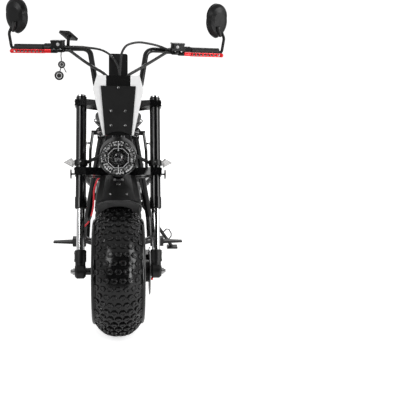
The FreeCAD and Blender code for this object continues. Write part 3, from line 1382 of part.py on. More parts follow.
# Handlebar clamp, handlebar, grips and the dark panel above them.
bar_middle = on_fork(0, mm.bar_offset, mm.bar_along)
bar_points = [
    above_axle(-mm.bar_reach, mm.bar_end_back, mm.bar_end_up),
    above_axle(-mm.bend_side, mm.bend_back, mm.bend_up),
    bar_middle - X_AXIS * float(mm.foot_side),
    bar_middle + X_AXIS * float(mm.foot_side),
    above_axle(mm.bend_side, mm.bend_back, mm.bend_up),
    above_axle(mm.bar_reach, mm.bar_end_back, mm.bar_end_up),
]
bar_bends = [42, 36, 36, 42]
bent_tube("handlebar", bar_points, bar_bends, mm.bar_radius)
riser_centre = on_fork(0, mm.bar_offset, top_clamp_high + mm.seat_gap + mm.riser_height / 2)
riser_block = block(
    "riser_block", mm.riser_width, mm.riser_depth, mm.riser_height, riser_centre, fork_frame.Rotation
)
riser_bore = cylinder(
    "riser_bore",
    mm.bar_radius + mm.running_gap,
    mm.riser_width + 2,
    bar_middle - X_AXIS * float(mm.riser_width / 2 + 1),
    X_AXIS,
)
nut_room = cylinder("nut_room", mm.stem_nut_radius + mm.seat_gap, mm.stem_nut_height + 1, nut_start, fork_up)
cut("bar_clamp", riser_block, join("riser_holes", [riser_bore, nut_room]))

left_bar = bar_points[-1]
bar_line = (bar_points[-1] - bar_points[-2]).normalize()
grip_body = cylinder(
    "grip_body", mm.grip_radius, mm.grip_length, left_bar - bar_line * float(mm.grip_length), bar_line
)
grip_bore = cylinder(
    "grip_bore",
    mm.bar_radius + mm.running_gap,
    mm.grip_length,
    left_bar - bar_line * float(mm.grip_length),
    bar_line,
)
pair("grips", cut("grip", grip_body, grip_bore))

panel_middle = mm.panel_low + mm.panel_height / 2
panel_place = Placement(on_fork(0, mm.panel_thick - mm.panel_ahead, panel_middle), upright_fork)
panel_face = rounded(mm.panel_width, mm.panel_height, mm.panel_round)
panel = slab("panel", [panel_face], mm.panel_thick, panel_place)
panel_gap_front = mm.bar_offset - mm.riser_depth / 2 - mm.seat_gap
foot_depth = panel_gap_front + mm.panel_ahead - mm.panel_thick + 2
panel_foot = block(
    "panel_foot",
    56,
    foot_depth,
    44,
    on_fork(0, panel_gap_front - foot_depth / 2, mm.panel_low - 14),
    fork_frame.Rotation,
)
panel_step = block(
    "panel_step",
    92,
    mm.panel_thick + 6,
    40,
    on_fork(0, -mm.panel_ahead + mm.panel_thick / 2 + 3, mm.panel_low + 8),
    fork_frame.Rotation,
)
join("bar_panel", [panel, panel_foot, panel_step])

# Brake levers, brake cylinders and switch housings beside the grips.
bar_ahead = (bar_line.cross(Z_AXIS)).normalize()
bar_ahead = bar_ahead if bar_ahead.y < 0 else bar_ahead * -1
bar_above = bar_line.cross(bar_ahead).normalize()
bar_above = bar_above if bar_above.z > 0 else bar_above * -1
bar_turn = Rotation(bar_line, bar_ahead * -1, bar_above, "XZY")


def by_bar(from_end, ahead, above):
    """A point beside the left half of the handlebar, measured from its end."""
    return left_bar - bar_line * float(from_end) + bar_ahead * float(ahead) + bar_above * float(above)


def beside_bar(from_end, ahead, above):
    """A plane beside the left half of the handlebar: its X outwards, its Y back."""
    return Placement(by_bar(from_end, ahead, above), bar_turn)


lever_root = 2 - mm.lever_length
lever_back = mm.lever_depth / 2
lever_outline = [
    (2 - lever_back, lever_back, (2, 0)),
    (lever_root + 40, lever_back - 3, (lever_root / 2, lever_back - 7)),
    (lever_root + 30, lever_back),
    (lever_root, lever_back),
    (lever_root, -lever_back - 7),
    (lever_root + 26, -lever_back - 9),
    (lever_root + 62, -lever_back - 2),
    (2 - lever_back, -lever_back, (lever_root / 2, -lever_back - 6)),
]
lever_place = beside_bar(0, mm.lever_ahead, -mm.lever_drop.value - mm.lever_thick.value / 2)
pair("brake_levers", slab("lever", [lever_outline], mm.lever_thick, lever_place))
control_start = mm.grip_length + 3
rim = mm.control_radius
housing_side = [
    (0, 0),
    (0, rim - 4),
    (4, rim),
    (mm.control_length - 4, rim),
    (mm.control_length, rim - 4),
    (mm.control_length, 0),
]
control_end = control_start + mm.control_length
along_bar = Placement(by_bar(control_end, 0, 0), bar_turn)
housing = turned("housing", housing_side, along_bar)
cylinder_room = mm.lever_ahead - mm.lever_depth / 2 - mm.seat_gap
cylinder_middle = control_end + mm.cylinder_length / 2 - 10
brake_body = block(
    "brake_body",
    mm.cylinder_length,
    cylinder_room,
    mm.cylinder_depth,
    by_bar(cylinder_middle, cylinder_room / 2, 0),
    bar_turn,
)
cup_low = mm.cylinder_depth / 2 - 2
cup_face = rounded(mm.cylinder_length - 4, cylinder_room - 2, mm.reservoir_round)
cup = slab(
    "reservoir", [cup_face], mm.reservoir_height, beside_bar(cylinder_middle, cylinder_room / 2, cup_low)
)
lid_face = rounded(mm.cylinder_length, cylinder_room + 2, mm.reservoir_round)
lid = slab(
    "reservoir_lid",
    [lid_face],
    5,
    beside_bar(cylinder_middle, cylinder_room / 2, cup_low + mm.reservoir_height),
)
bar_room = cylinder("bar_room", mm.bar_radius + mm.running_gap, 300, by_bar(300, 0, 0), bar_line)
control = cut("control", join("control_body", [housing, brake_body, cup, lid]), bar_room)
pair("bar_controls", control)

# Display on a short bracket beside the right grip's housing.
display_middle = above_axle(-mm.display_side, mm.display_back, mm.display_up)
display_turn = Rotation(Vector(0.768, -0.64, 0.04), Vector(0.548, 0.62, -0.562), Vector(0, 0, 0), "XYZ")
display_face = rounded(mm.display_width, mm.display_height, 7)
display_place = Placement(display_middle, display_turn).multiply(
    Placement(Z_AXIS * (mm.display_thick.value / -2), Rotation())
)
display_plate = slab("display_plate", [display_face], mm.display_thick, display_place)
right_by_bar = by_bar(mm.bar_reach - mm.display_side, 0, 0)
right_by_bar = Vector(-right_by_bar.x, right_by_bar.y, right_by_bar.z)
display_stalk = cylinder(
    "display_stalk",
    7,
    (display_middle - right_by_bar).Length,
    right_by_bar,
    (display_middle - right_by_bar).normalize(),
)
bar_clear = bent_tube("bar_clear", bar_points, bar_bends, mm.bar_radius + mm.seat_gap)
cut("display", join("display_body", [display_plate, display_stalk]), bar_clear)


# Mirrors: egg-shaped heads, turned in to the rider, on stalks from the handlebar's ends.
def egg(share, shrink=0):
    """An outline of the mirror head, wider above its middle."""
    wide = (mm.mirror_width / 2 - shrink) * share
    tall = (mm.mirror_height / 2 - shrink) * share
    widest = tall * 0.16
    return [
        (wide, widest, (wide * 0.81, -tall * 0.57)),
        (0, tall, (wide * 0.78, tall * 0.72)),
        (-wide, widest, (-wide * 0.78, tall * 0.72)),
        (0, -tall, (-wide * 0.81, -tall * 0.57)),
    ]


mirror_turn = Rotation(Z_AXIS, mm.mirror_turn.value).multiply(Rotation(X_AXIS, 90))
glass_place = Placement(above_axle(mm.mirror_side, mm.mirror_back, mm.mirror_up), mirror_turn)
glass = slab("glass", [egg(1, mm.mirror_rim)], mm.glass_thick, glass_place)
pair("mirror_glasses", glass)
head_place = glass_place.multiply(Placement(Z_AXIS * float(mm.glass_thick + mm.seat_gap), Rotation()))
head_sections = [
    (0, egg(1)),
    (mm.mirror_depth * 0.4, egg(0.96)),
    (mm.mirror_depth * 0.8, egg(0.78)),
    (mm.mirror_depth, egg(0.5)),
]
mirror_head = lofted("mirror_head", head_sections, head_place)
stalk_points = [
    left_bar + bar_line * mm.seat_gap.value,
    left_bar + bar_line * 16,
    above_axle(mm.bar_reach + 24, mm.bar_end_back + 2, mm.bar_end_up + 62),
    head_place.multVec(Vector(10, -24, 14)),
]
mirror_stalk = bent_tube("mirror_stalk", stalk_points, [9, 30], mm.mirror_stalk_radius)
pair("mirror_heads", join("mirror", [mirror_head, mirror_stalk]))

# Footpegs on brackets outside the rails.
peg_sections = [
    (0, rounded(mm.peg_width, mm.peg_thick, 3)),
    (mm.peg_tip - mm.peg_root, rounded(mm.peg_width * 0.8, mm.peg_tip_thick, 3)),
]
peg_place = Placement(spot(mm.peg_root, mm.peg_back, mm.peg_up), Rotation(Y_AXIS, Z_AXIS, X_AXIS, "ZXY"))
pair("footpegs", lofted("peg", peg_sections, peg_place))
bracket_length = mm.peg_root - mm.seat_gap - mm.rail_side
peg_bracket_block = block(
    "peg_block", bracket_length, 34, 40, spot(mm.rail_side + bracket_length / 2, mm.peg_back + 4, mm.peg_up)
)
rail_room = bent_tube("rail_room", outer_points, outer_bends, mm.rail_radius + mm.seat_gap)
half_room = block("half_room", 60, 80, 80, spot(mm.rail_side - 30, mm.peg_back + 4, mm.peg_up))
pair("peg_brackets", cut("peg_bracket", peg_bracket_block, join("peg_room", [rail_room, half_room])))

# Side stand: an ear under the left arm holds its pin, the leg swings back and up.
stand_pivot = spot(mm.stand_pivot_side, pivot_back + mm.stand_pivot_behind, mm.stand_pivot_up)
stand_foot = spot(mm.stand_foot_side, pivot_back + mm.stand_foot_behind, mm.foot_thick / 2)
stand_line = (stand_foot - stand_pivot).normalize()
folded_line = Vector(0.16, 0.98, -0.1).normalize()
stand_axis = stand_line.cross(folded_line).normalize()
eye_half = mm.stand_eye_width / 2
eye_start = stand_pivot - stand_axis * float(eye_half)
stand_eye = cylinder("stand_eye", mm.stand_eye_radius, mm.stand_eye_width, eye_start, stand_axis)
stand_leg = cylinder("stand_leg", mm.stand_radius, (stand_foot - stand_pivot).Length, stand_pivot, stand_line)
foot_centre = Vector(stand_foot.x, stand_foot.y, float(mm.foot_thick / 2))
foot_plate = block("foot_plate", mm.foot_half * 2, mm.foot_half * 1.6, mm.foot_thick, foot_centre)
floor_room = block("floor_room", 400, 400, 60, Vector(stand_foot.x, stand_foot.y, -30))
eye_bore = cylinder(
    "eye_bore",
    mm.stand_pin_radius + mm.running_gap,
    mm.stand_eye_width * 4,
    stand_pivot - stand_axis * float(mm.stand_eye_width * 2),
    stand_axis,
)
cut(
    "side_stand",
    join("stand_body", [stand_eye, stand_leg, foot_plate]),
    join("stand_room", [floor_room, eye_bore]),
)

pin = cylinder(
    "stand_pin",
    mm.stand_pin_radius,
    mm.stand_eye_width + 14,
    stand_pivot - stand_axis * (float(eye_half) + 4),
    stand_axis,
)
ear_start = stand_pivot + stand_axis * (float(eye_half) + 0.3)
ear_disc = cylinder("stand_ear", 16, 12, ear_start, stand_axis)
ear_middle = ear_start + stand_axis * 7
ear_line = spot(126, pivot_back + 80, mm.pivot_up + 6) - ear_middle
ear_length = ear_line.Length
ear_arm = cylinder("ear_arm", 7, ear_length, ear_middle, ear_line.normalize())
cut("stand_bracket", join("stand_ear_body", [pin, ear_disc, ear_arm]), arm_room)


# Cables of the handlebar: from the brake cylinders and the switches in front of the dark
# panel and down into the fairing. Each arc is as large as its runs leave room for.
def held_cable(label, points, radius):
    bends = []
    for before, corner, after in zip(points, points[1:], points[2:]):
        turn = (corner - before).getAngle(after - corner)
        shorter = min((corner - before).Length, (after - corner).Length)
        bends.append(0.45 * shorter / math.tan(turn / 2))
    return bent_tube(label, points, bends, radius)


def right(point):
    """The same place on the right."""
    return Vector(-point.x, point.y, point.z)


cylinder_end = cylinder_middle + mm.cylinder_length / 2 + mm.seat_gap
tongue_top = tongue_up + 5 + mm.seat_gap
brake_cable_right = [
    right(by_bar(cylinder_end, 25, 7)),
    right(by_bar(cylinder_end + 20, 25, 7)),
    above_axle(-157, 470, 853),
    above_axle(-75, 430, 850),
    above_axle(-35, 364, 837),
    above_axle(-4, 348, 801),
    on_fork(14, -46, 775),
    on_fork(14, -46, tongue_top),
]
brake_cable_left = [
    by_bar(cylinder_end, 25, 7),
    by_bar(cylinder_end + 18, 25, 7),
    above_axle(186, 472, 862),
    above_axle(148, 458, 873),
    above_axle(84, 421, 886),
    above_axle(33, 376, 876),
    above_axle(12, 346, 844),
    above_axle(9, 321, 798),
    on_fork(3, -94, 762),
    on_fork(3, -94, tongue_top),
]
loom_right = [
    right(by_bar(cylinder_end, 26, -6)),
    right(by_bar(cylinder_end + 20, 26, -6)),
    above_axle(-130, 425, 786),
    above_axle(-54, 335, 758),
    on_fork(-17, -66, 765),
    on_fork(-17, -66, tongue_top),
]
loom_left = [
    by_bar(cylinder_end, 26, -6),
    by_bar(cylinder_end + 20, 26, -6),
    above_axle(122, 405, 791),
    above_axle(34, 318, 753),
    on_fork(22, -72, 756),
    on_fork(22, -72, tongue_top),
]
group("bar_cables", [
    held_cable("brake_cable_right", brake_cable_right, mm.cable_radius),
    held_cable("brake_cable_left", brake_cable_left, mm.cable_radius),
    held_cable("loom_right", loom_right, mm.loom_radius),
    held_cable("loom_left", loom_left, mm.loom_radius),
])

# Red hose on the right of the frame, from the backbone down to the footpeg's bracket.
hose_points = [
    spot(-mm.spine_radius - mm.seat_gap, mm.spine_low_back + 12, mm.spine_low_up + 4),
    spot(-mm.spine_radius - 24, mm.spine_low_back + 12, mm.spine_low_up + 4),
    spot(-90, mm.spine_low_back - 10, mm.spine_low_up - 14),
    spot(-110, 404, 496),
    spot(-112, 400, 408),
    spot(-130, 401, 341),
    spot(-164, 420, 300),
    spot(-176, mm.peg_back + 4, mm.peg_up + 46),
    spot(-176, mm.peg_back + 4, mm.peg_up + 20 + mm.seat_gap),
]
held_cable("brake_hose", hose_points, mm.hose_radius)

doc.recompute()

NODES = (
    "front_tyre", "front_rim", "front_disc", "rear_tyre", "rear_rim", "rear_disc",
    "front_axle", "rear_axle", "front_caliper", "rear_caliper",
    "fork_tubes", "fork_stanchions", "fork_bottoms", "top_clamp", "lower_clamp", "steering_stem",
    "frame_spine", "frame_cradle", "frame_rails", "battery_case", "swingarm",
    "rear_shocks", "shock_springs", "saddle", "saddle_pan", "tail_hoop", "tail_housing",
    "tail_lens", "tail_cover", "rear_mudguard", "front_mudguard", "number_plate", "plate_holder",
    "rear_indicators", "front_indicators", "reflectors", "headlight_case", "headlight_glass", "lamp_insert",
    "fairing", "front_plate", "handlebar", "bar_clamp", "grips", "bar_panel", "brake_levers",
    "bar_controls", "display", "mirror_glasses", "mirror_heads", "footpegs", "peg_brackets",
    "side_stand", "stand_bracket", "bar_cables", "brake_hose",
)

for item in doc.Objects:
    if "Invalid" in item.State or "Error" in item.State:
        raise RuntimeError("%s did not build: %s" % (item.Label, item.State))
for node in NODES:
    shape = doc.getObjectsByLabel(node)[0].Shape
    if shape.isNull() or not shape.isValid() or not shape.Solids:
        raise RuntimeError("%s has no valid solid" % node)
    shape.exportStep("parts/%s.step" % node)
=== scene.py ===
import math

import bmesh
import bpy
from mathutils import Matrix, Vector


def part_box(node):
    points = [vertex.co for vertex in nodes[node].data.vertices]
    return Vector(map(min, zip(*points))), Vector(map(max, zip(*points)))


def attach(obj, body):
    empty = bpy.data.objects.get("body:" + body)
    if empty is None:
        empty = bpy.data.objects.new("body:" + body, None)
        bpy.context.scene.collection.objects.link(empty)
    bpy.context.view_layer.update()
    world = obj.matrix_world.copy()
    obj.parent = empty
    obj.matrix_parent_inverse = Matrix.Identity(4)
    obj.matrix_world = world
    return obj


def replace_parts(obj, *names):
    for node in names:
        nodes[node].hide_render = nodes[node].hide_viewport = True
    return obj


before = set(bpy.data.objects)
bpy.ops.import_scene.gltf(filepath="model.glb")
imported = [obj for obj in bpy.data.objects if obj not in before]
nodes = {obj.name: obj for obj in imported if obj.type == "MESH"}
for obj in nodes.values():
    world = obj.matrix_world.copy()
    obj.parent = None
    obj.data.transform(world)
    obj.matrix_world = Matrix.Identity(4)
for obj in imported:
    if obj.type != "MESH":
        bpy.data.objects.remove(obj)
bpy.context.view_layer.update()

# The view of the photograph: from the front and a little above, the scooter in the left
# half of the square picture. The camera is turned, not shifted.
FRONT_Y = -0.701


def new_object(name, data):
    """An object in the scene."""
    item = bpy.data.objects.new(name, data)
    bpy.context.scene.collection.objects.link(item)
    return item


def placed(spot, across, up, out):
    """A place by its origin and the directions of its three axes."""
    return Matrix.Translation(spot) @ Matrix((across, up, out)).transposed().to_4x4()


view = bpy.data.cameras.new("view")
view.lens = 65.84
view.clip_end = 400
camera = new_object("view", view)
bpy.context.scene.camera = camera
yaw = math.radians(6.693)
pitch = math.radians(17.908)
roll = math.radians(2.03)
forward = Vector((math.sin(yaw) * math.cos(pitch), math.cos(yaw) * math.cos(pitch), -math.sin(pitch)))
level = Vector((math.cos(yaw), -math.sin(yaw), 0))
upward = level.cross(forward)
right = level * math.cos(roll) + upward * math.sin(roll)
camera.matrix_world = placed((0, FRONT_Y - 2.791, 1.481), right, right.cross(forward), -forward)


# Frame: steel tubes bent and welded, then sprayed black and baked. Glossy enamel with a
# faint orange peel, fine dust on what faces up, and a bead of weld round each joint.
def arithmetic(operation, reflected=False):
    """A method of Value that adds one Math node."""

    def method(value, other=0.0):
        first, second = (other, value) if reflected else (value, other)
        return value.shading.node("Math", {"operation": operation}, {0: first, 1: second})

    return method


def grey(level, blue=0.0):
    return (level, level, level + blue, 1)


class Value:
    """A socket of a node that takes part in arithmetic."""

    def __init__(self, shading, socket):
        self.shading = shading
        self.socket = socket

    __add__ = __radd__ = arithmetic("ADD")
    __sub__ = arithmetic("SUBTRACT")
    __rsub__ = arithmetic("SUBTRACT", reflected=True)
    __mul__ = __rmul__ = arithmetic("MULTIPLY")
    __gt__ = arithmetic("GREATER_THAN")
    __lt__ = arithmetic("LESS_THAN")
    __mod__ = arithmetic("FLOORED_MODULO")
    __abs__ = arithmetic("ABSOLUTE")


class Shading:
    """Nodes put together in front of the last one of a material or a world."""

    def __init__(self, owner, last):
        owner.use_nodes = True
        self.tree = owner.node_tree
        self.last = self.tree.nodes[last]

    def feed(self, node, socket, value):
        if isinstance(value, Value):
            self.tree.links.new(value.socket, node.inputs[socket])
        else:
            node.inputs[socket].default_value = value

    def set(self, socket, value):
        """A socket of the last node."""
        self.feed(self.last, socket, value)

    def node(self, kind, settings=None, inputs=None, out=0):
        """Any node with its settings and inputs by name, as one of its outputs."""
        node = self.tree.nodes.new("ShaderNode" + kind)
        for name, value in (settings or {}).items():
            if name == "stops":
                for stop, (place, level) in zip(node.color_ramp.elements, value):
                    stop.position = place
                    stop.color = grey(level)
            else:
                setattr(node, name, value)
        for name, value in (inputs or {}).items():
            self.feed(node, name, value)
        return Value(self, node.outputs[out])


class Finish(Shading):
    """One material: its colour, its gloss and its grain."""

    def __init__(self, name, colour, roughness, metallic=0.0, **constants):
        self.material = bpy.data.materials.new(name)
        super().__init__(self.material, "Principled BSDF")
        self.set("Base Color", (*colour, 1))
        self.set("Roughness", roughness)
        self.set("Metallic", metallic)
        for socket, value in constants.items():
            self.set(socket.replace("_", " "), value)

    def texture(self, kind, settings=None, **inputs):
        """A texture in the object's own coordinates."""
        place = self.node("TexCoord", out="Object")
        return self.node("Tex" + kind, settings, {"Vector": place, **inputs})

    def noise(self, scale, detail, roughness=0.5):
        return self.texture("Noise", Scale=scale, Detail=detail, Roughness=roughness)

    def axis(self, letter):
        """How far along X, Y or Z a point lies."""
        place = self.node("TexCoord", out="Object")
        return self.node("SeparateXYZ", inputs={"Vector": place}, out=letter)

    def ramp(self, value, *stops):
        """Greys along a value. stops: place, level"""
        return self.node("ValToRGB", {"stops": stops}, {"Fac": value})

    def mix(self, factor, first, second):
        """Two colours by a factor."""
        return self.node("Mix", {"data_type": "RGBA"}, {0: factor, 6: first, 7: second}, out=2)

    def tint(self, factor, first, second):
        self.set("Base Color", self.mix(factor, first, second))

    def gloss(self, value, smooth, rough, start=0.3, stop=0.7):
        self.set("Roughness", self.ramp(value, (start, smooth), (stop, rough)))

    def grain(self, height, depth, strength):
        inputs = {"Height": height, "Distance": depth, "Strength": strength}
        self.set("Normal", self.node("Bump", inputs=inputs))


def dress(finish, *names):
    """Gives CAD nodes a finish."""
    for name in names:
        for slot in nodes[name].material_slots:
            slot.material = finish.material


enamel = Finish("black_enamel", (0.003, 0.003, 0.0033), 0.16, Specular_IOR_Level=0.5)
peel = enamel.noise(26, 4.0)
facing_up = enamel.node("SeparateXYZ", inputs={"Vector": enamel.node("NewGeometry", out="Normal")}, out="Z")
dust = enamel.ramp(peel, (0.5, 0), (0.8, 1)) * enamel.ramp(facing_up, (0.5, 0), (1.0, 1))
enamel.tint(dust * 0.3, grey(0.0025, 0.0003), grey(0.02))
enamel.gloss(peel, 0.1, 0.24, stop=0.75)
enamel.grain(enamel.noise(420, 2.0), 0.00015, 0.25)
dress(
    enamel, "frame_spine", "frame_cradle", "frame_rails", "swingarm", "tail_hoop", "peg_brackets",
    "stand_bracket", "plate_holder", "fork_tubes", "top_clamp", "lower_clamp", "handlebar", "bar_clamp",
)


def regular(sides, radius, start=0.0):
    """The corners of a regular outline."""
    turns = [start + 2 * math.pi * side / sides for side in range(sides)]
    return [(radius * math.cos(turn), radius * math.sin(turn)) for turn in turns]


class Form:
    """A mesh put together from turned and swept parts."""

    def __init__(self):
        self.verts = []
        self.faces = []

    def add(self, verts, faces, place=None):
        first = len(self.verts)
        self.verts += [place @ Vector(vert) if place else Vector(vert) for vert in verts]
        self.faces += [[first + index for index in face] for face in faces]
        return self

    def skin(self, rings, place=None, ends=True, around=True):
        """Faces between rings of as many points, with a face over each end."""
        count = len(rings[0])
        verts = [vert for ring in rings for vert in ring]
        faces = []
        for row in range(len(rings) - 1):
            for index in range(count if around else count - 1):
                here = row * count + index
                there = row * count + (index + 1) % count
                faces.append((here, there, there + count, here + count))
        if ends:
            faces.append(tuple(reversed(range(count))))
            faces.append(tuple(range(len(verts) - count, len(verts))))
        return self.add(verts, faces, place)

    def turned(self, profile, place, steps, closed=False):
        """A profile of (radius, height) turned round the Z axis of a place."""
        rings = [[(x, y, height) for x, y in regular(steps, radius)] for radius, height in profile]
        if closed:
            rings.append(rings[0])
        return self.skin(rings, place, ends=not closed)

    def swept(self, line, radius, steps, closed=False):
        """A round bar along a line of points, its radius one number or one a point."""
        rings = []
        side = None
        for index, spot in enumerate(line):
            before = line[index - 1] if closed or index else spot
            after = line[(index + 1) % len(line)] if closed or index < len(line) - 1 else spot
            along = (Vector(after) - Vector(before)).normalized()
            if side is None:
                side = along.orthogonal().normalized()
            side = (side - along * side.dot(along)).normalized()
            over = along.cross(side)
            reach = radius[index] if isinstance(radius, list) else radius
            rings.append([Vector(spot) + (side * x + over * y) * reach for x, y in regular(steps, 1.0)])
        if closed:
            rings.append(rings[0])
        return self.skin(rings, ends=not closed)

    def made(self, name, finish, body, slot, sharp=35):
        """The finished object: welded, shaded, riding on its body."""
        mesh = bpy.data.meshes.new(name)
        mesh.from_pydata(self.verts, [], self.faces)
        shape = bmesh.new()
        shape.from_mesh(mesh)
        bmesh.ops.remove_doubles(shape, verts=shape.verts, dist=1e-6)
        bmesh.ops.recalc_face_normals(shape, faces=shape.faces)
        for edge in shape.edges:
            if len(edge.link_faces) == 2 and edge.calc_face_angle(0) > math.radians(sharp):
                edge.smooth = False
        for face in shape.faces:
            face.smooth = True
        shape.to_mesh(mesh)
        shape.free()
        mesh.materials.append(finish.material)
        item = new_object(name, mesh)
        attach(item, body)
        return item


def seat(spot, normal, up=(0, 0, 1)):
    """A place on a surface: its Z out of it, its Y near a given direction."""
    out = Vector(normal).normalized()
    near = Vector(up)
    if abs(out.dot(near)) > 0.98:
        near = Vector((0, 1, 0))
    across = near.cross(out).normalized()
    return placed(spot, across, out.cross(across), out)


AXLE_UP = 0.266
RAKE = math.radians(26.4)
FORK_UP = Vector((0, math.sin(RAKE), math.cos(RAKE)))
FORK_BACK = Vector((0, math.cos(RAKE), -math.sin(RAKE)))
HEAD_TUBE_BEHIND = 0.032
PIVOT_Y = 0.204
PIVOT_UP = 0.3
SHOCK_TOP = Vector((0.090, 0.111, 0.6704))


def on_fork(side, behind, along):
    """A point by its distance to the left, behind the fork legs and up along them."""
    return Vector((side, FRONT_Y, AXLE_UP)) + FORK_BACK * behind + FORK_UP * along


def weld(form, middle, direction, radius):
    """A rippled bead of weld round a tube."""
    bead = 0.0028
    place = seat(middle, direction)
    steps = max(24, int(radius * 2 * math.pi / bead))
    line = [place @ Vector((x, y, 0)) for x, y in regular(steps, radius)]
    form.swept(line, [bead * (1.0 if step % 2 else 0.78) for step in range(steps)], 6, closed=True)


beads = Form()
for side in (1, -1):
    weld(beads, (side * 0.1275, PIVOT_Y, PIVOT_UP), (side, 0, 0), 0.0222)
    weld(beads, (side * 0.0635, SHOCK_TOP.y, SHOCK_TOP.z), (side, 0, 0), 0.0132)
for along in (0.446, 0.678):
    weld(beads, on_fork(0, HEAD_TUBE_BEHIND, along), FORK_UP, 0.0262)
beads.made("frame_welds", enamel, "chassis", "black_paint")


# Yellow band round the back of the head tube: plain plastic tape that is wound on by
# hand, its colour faded a little in places.
def uneven(name, low, high, smooth, rough, scale, metallic=0.0, **constants):
    """A finish whose colour and gloss wander a little between two values."""
    finish = Finish(name, low[:3], smooth, metallic, **constants)
    wander = finish.noise(scale, 5.0, 0.6)
    finish.tint(wander, low, high)
    finish.gloss(wander, smooth, rough, stop=0.72)
    return finish


BAND_RADIUS = 0.0264
TAPE = 0.0004
tape = uneven("yellow_tape", (0.78, 0.62, 0.03, 1), (0.86, 0.72, 0.08, 1), 0.3, 0.5, 60.0)
rings = []
for along, lift in ((0.560, 0), (0.5605, TAPE), (0.6195, TAPE), (0.620, 0)):
    reach = BAND_RADIUS + lift
    arc = []
    for degrees in range(-80, 81, 10):
        angle = math.radians(degrees)
        arc.append(on_fork(reach * math.sin(angle), HEAD_TUBE_BEHIND + reach * math.cos(angle), along))
    rings.append(arc)
band = Form().skin(rings, ends=False, around=False)
band.made("head_tube_band", tape, "chassis", "black_plastic")


# Battery case: a pressed black box with a lid and ribs on its sides, and screws along the
# lid. It sits on the cradle tubes.
def round_box(form, centre, half, corner, place=None):
    """A box with rounded upright corners and bevelled top and foot."""
    outline = []
    for quarter, sign_x, sign_y in ((0, 1, 1), (1, -1, 1), (2, -1, -1), (3, 1, -1)):
        for step in range(5):
            angle = math.pi / 2 * (quarter + step / 4)
            x = sign_x * (half[0] - corner) + corner * math.cos(angle)
            outline.append((x, sign_y * (half[1] - corner) + corner * math.sin(angle)))
    tall = half[2]
    bevel = min(corner, tall * 0.4)
    rings = []
    for height, inset in (
        (-tall, bevel), (bevel * 0.3 - tall, bevel * 0.3), (bevel - tall, 0),
        (tall - bevel, 0), (tall - bevel * 0.3, bevel * 0.3), (tall, bevel),
    ):
        narrow = 1 - inset / half[0]
        short = 1 - inset / half[1]
        rings.append([Vector((x * narrow, y * short, height)) + Vector(centre) for x, y in outline])
    form.skin(rings, place)


def screw(form, place, radius, height):
    """A round-headed screw with a recess for its key."""
    form.turned(
        (
            (radius, -0.001), (radius, height * 0.55), (radius * 0.86, height * 0.9),
            (radius * 0.5, height), (radius * 0.46, height * 0.4), (0, height * 0.4),
        ),
        place, 16,
    )


def screws(name, body, rows):
    """Bright screws in one piece. rows: place, direction, radius, height"""
    form = Form()
    for spot, out, radius, height in rows:
        screw(form, seat(spot, out), radius, height)
    form.made(name, steel, body, "polished_steel")


case_coat = uneven("case_coat", grey(0.009), grey(0.02, 0.001), 0.34, 0.5, 18.0)
case_coat.grain(case_coat.noise(900, 2.0), 0.0002, 0.4)
low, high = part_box("battery_case")
middle = (low + high) / 2
half = (high - low) / 2
LID_HALF = 0.015
RIB_PITCH = 0.058
SCREW_PITCH = 0.088
box = Form()
round_box(box, middle - Vector((0, 0, 0.014)), (half.x - 0.003, half.y - 0.002, half.z - 0.014), 0.012)
round_box(box, (middle.x, middle.y, high.z - LID_HALF), (half.x, half.y, LID_HALF), 0.012)
rows = []
for side in (1, -1):
    for row in range(6):
        spot = (side * (half.x - 0.0035), low.y + 0.06 + row * RIB_PITCH, middle.z - 0.012)
        round_box(box, spot, (0.0035, 0.012, half.z - 0.045), 0.0032)
    for row in range(5):
        spot = (side * (half.x - 0.0005), low.y + 0.03 + row * SCREW_PITCH, high.z - LID_HALF)
        rows.append((spot, (side, 0, 0), 0.004, 0.002))
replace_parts(box.made("battery_shell", case_coat, "chassis", "battery_grey"), "battery_case")
steel = uneven("screw_steel", grey(0.32), grey(0.62), 0.18, 0.36, 300.0, 1.0)
screws("battery_screws", "chassis", rows)


# Swingarm pivot: a steel bolt through the sleeve. At each end it has a six-sided nut and
# a dome.
def nut(form, place, radius, height):
    """A six-sided nut with bevelled corners."""
    levels = ((0, 0.96), (height * 0.14, 1), (height * 0.86, 1), (height, 0.88))
    outline = regular(6, radius)
    form.skin([[(x * share, y * share, rise) for x, y in outline] for rise, share in levels], place)


pivot = Form()
for side in (1, -1):
    place = seat((side * 0.138, PIVOT_Y, PIVOT_UP), (side, 0, 0))
    nut(pivot, place, 0.014, 0.010)
    pivot.turned(((0.009, 0.009), (0.008, 0.014), (0.004, 0.0165), (0, 0.017)), place, 16)
pivot.made("pivot_bolt", steel, "chassis", "polished_steel")


# Rear shock absorbers: chromed bodies between two eyes, each with a coil spring of
# polished wire that is ground flat against its cups.
def mirrored(spot, side):
    """A point or direction on the left (1) or the right (-1)."""
    return Vector((spot.x * side, spot.y, spot.z))


chrome = uneven("hard_chrome", grey(0.6), grey(0.82, 0.01), 0.05, 0.17, 14.0, 1.0)
dress(chrome, "fork_stanchions", "steering_stem", "rear_shocks")
SHOCK_LOW = Vector((0.090, 0.2794, 0.6202))
SPRING_START = 0.022
SPRING_LENGTH = 0.104
SPRING_TURNS = 8
SPRING_RADIUS = 0.0165
WIRE = 0.0036
shock_line = (SHOCK_LOW - SHOCK_TOP).normalized()
steps = SPRING_TURNS * 20
springs = Form()
for side in (1, -1):
    place = seat(mirrored(SHOCK_TOP, side) + shock_line * SPRING_START, shock_line)
    line = []
    for step in range(steps + 1):
        share = step / steps
        angle = 2 * math.pi * SPRING_TURNS * share
        height = WIRE + (SPRING_LENGTH - 2 * WIRE) * share
        spot = (SPRING_RADIUS * math.cos(angle), SPRING_RADIUS * math.sin(angle), height)
        line.append(place @ Vector(spot))
    springs.swept(line, 0.0034, 8)
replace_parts(springs.made("coil_springs", chrome, "chassis", "polished_steel", 60), "shock_springs")

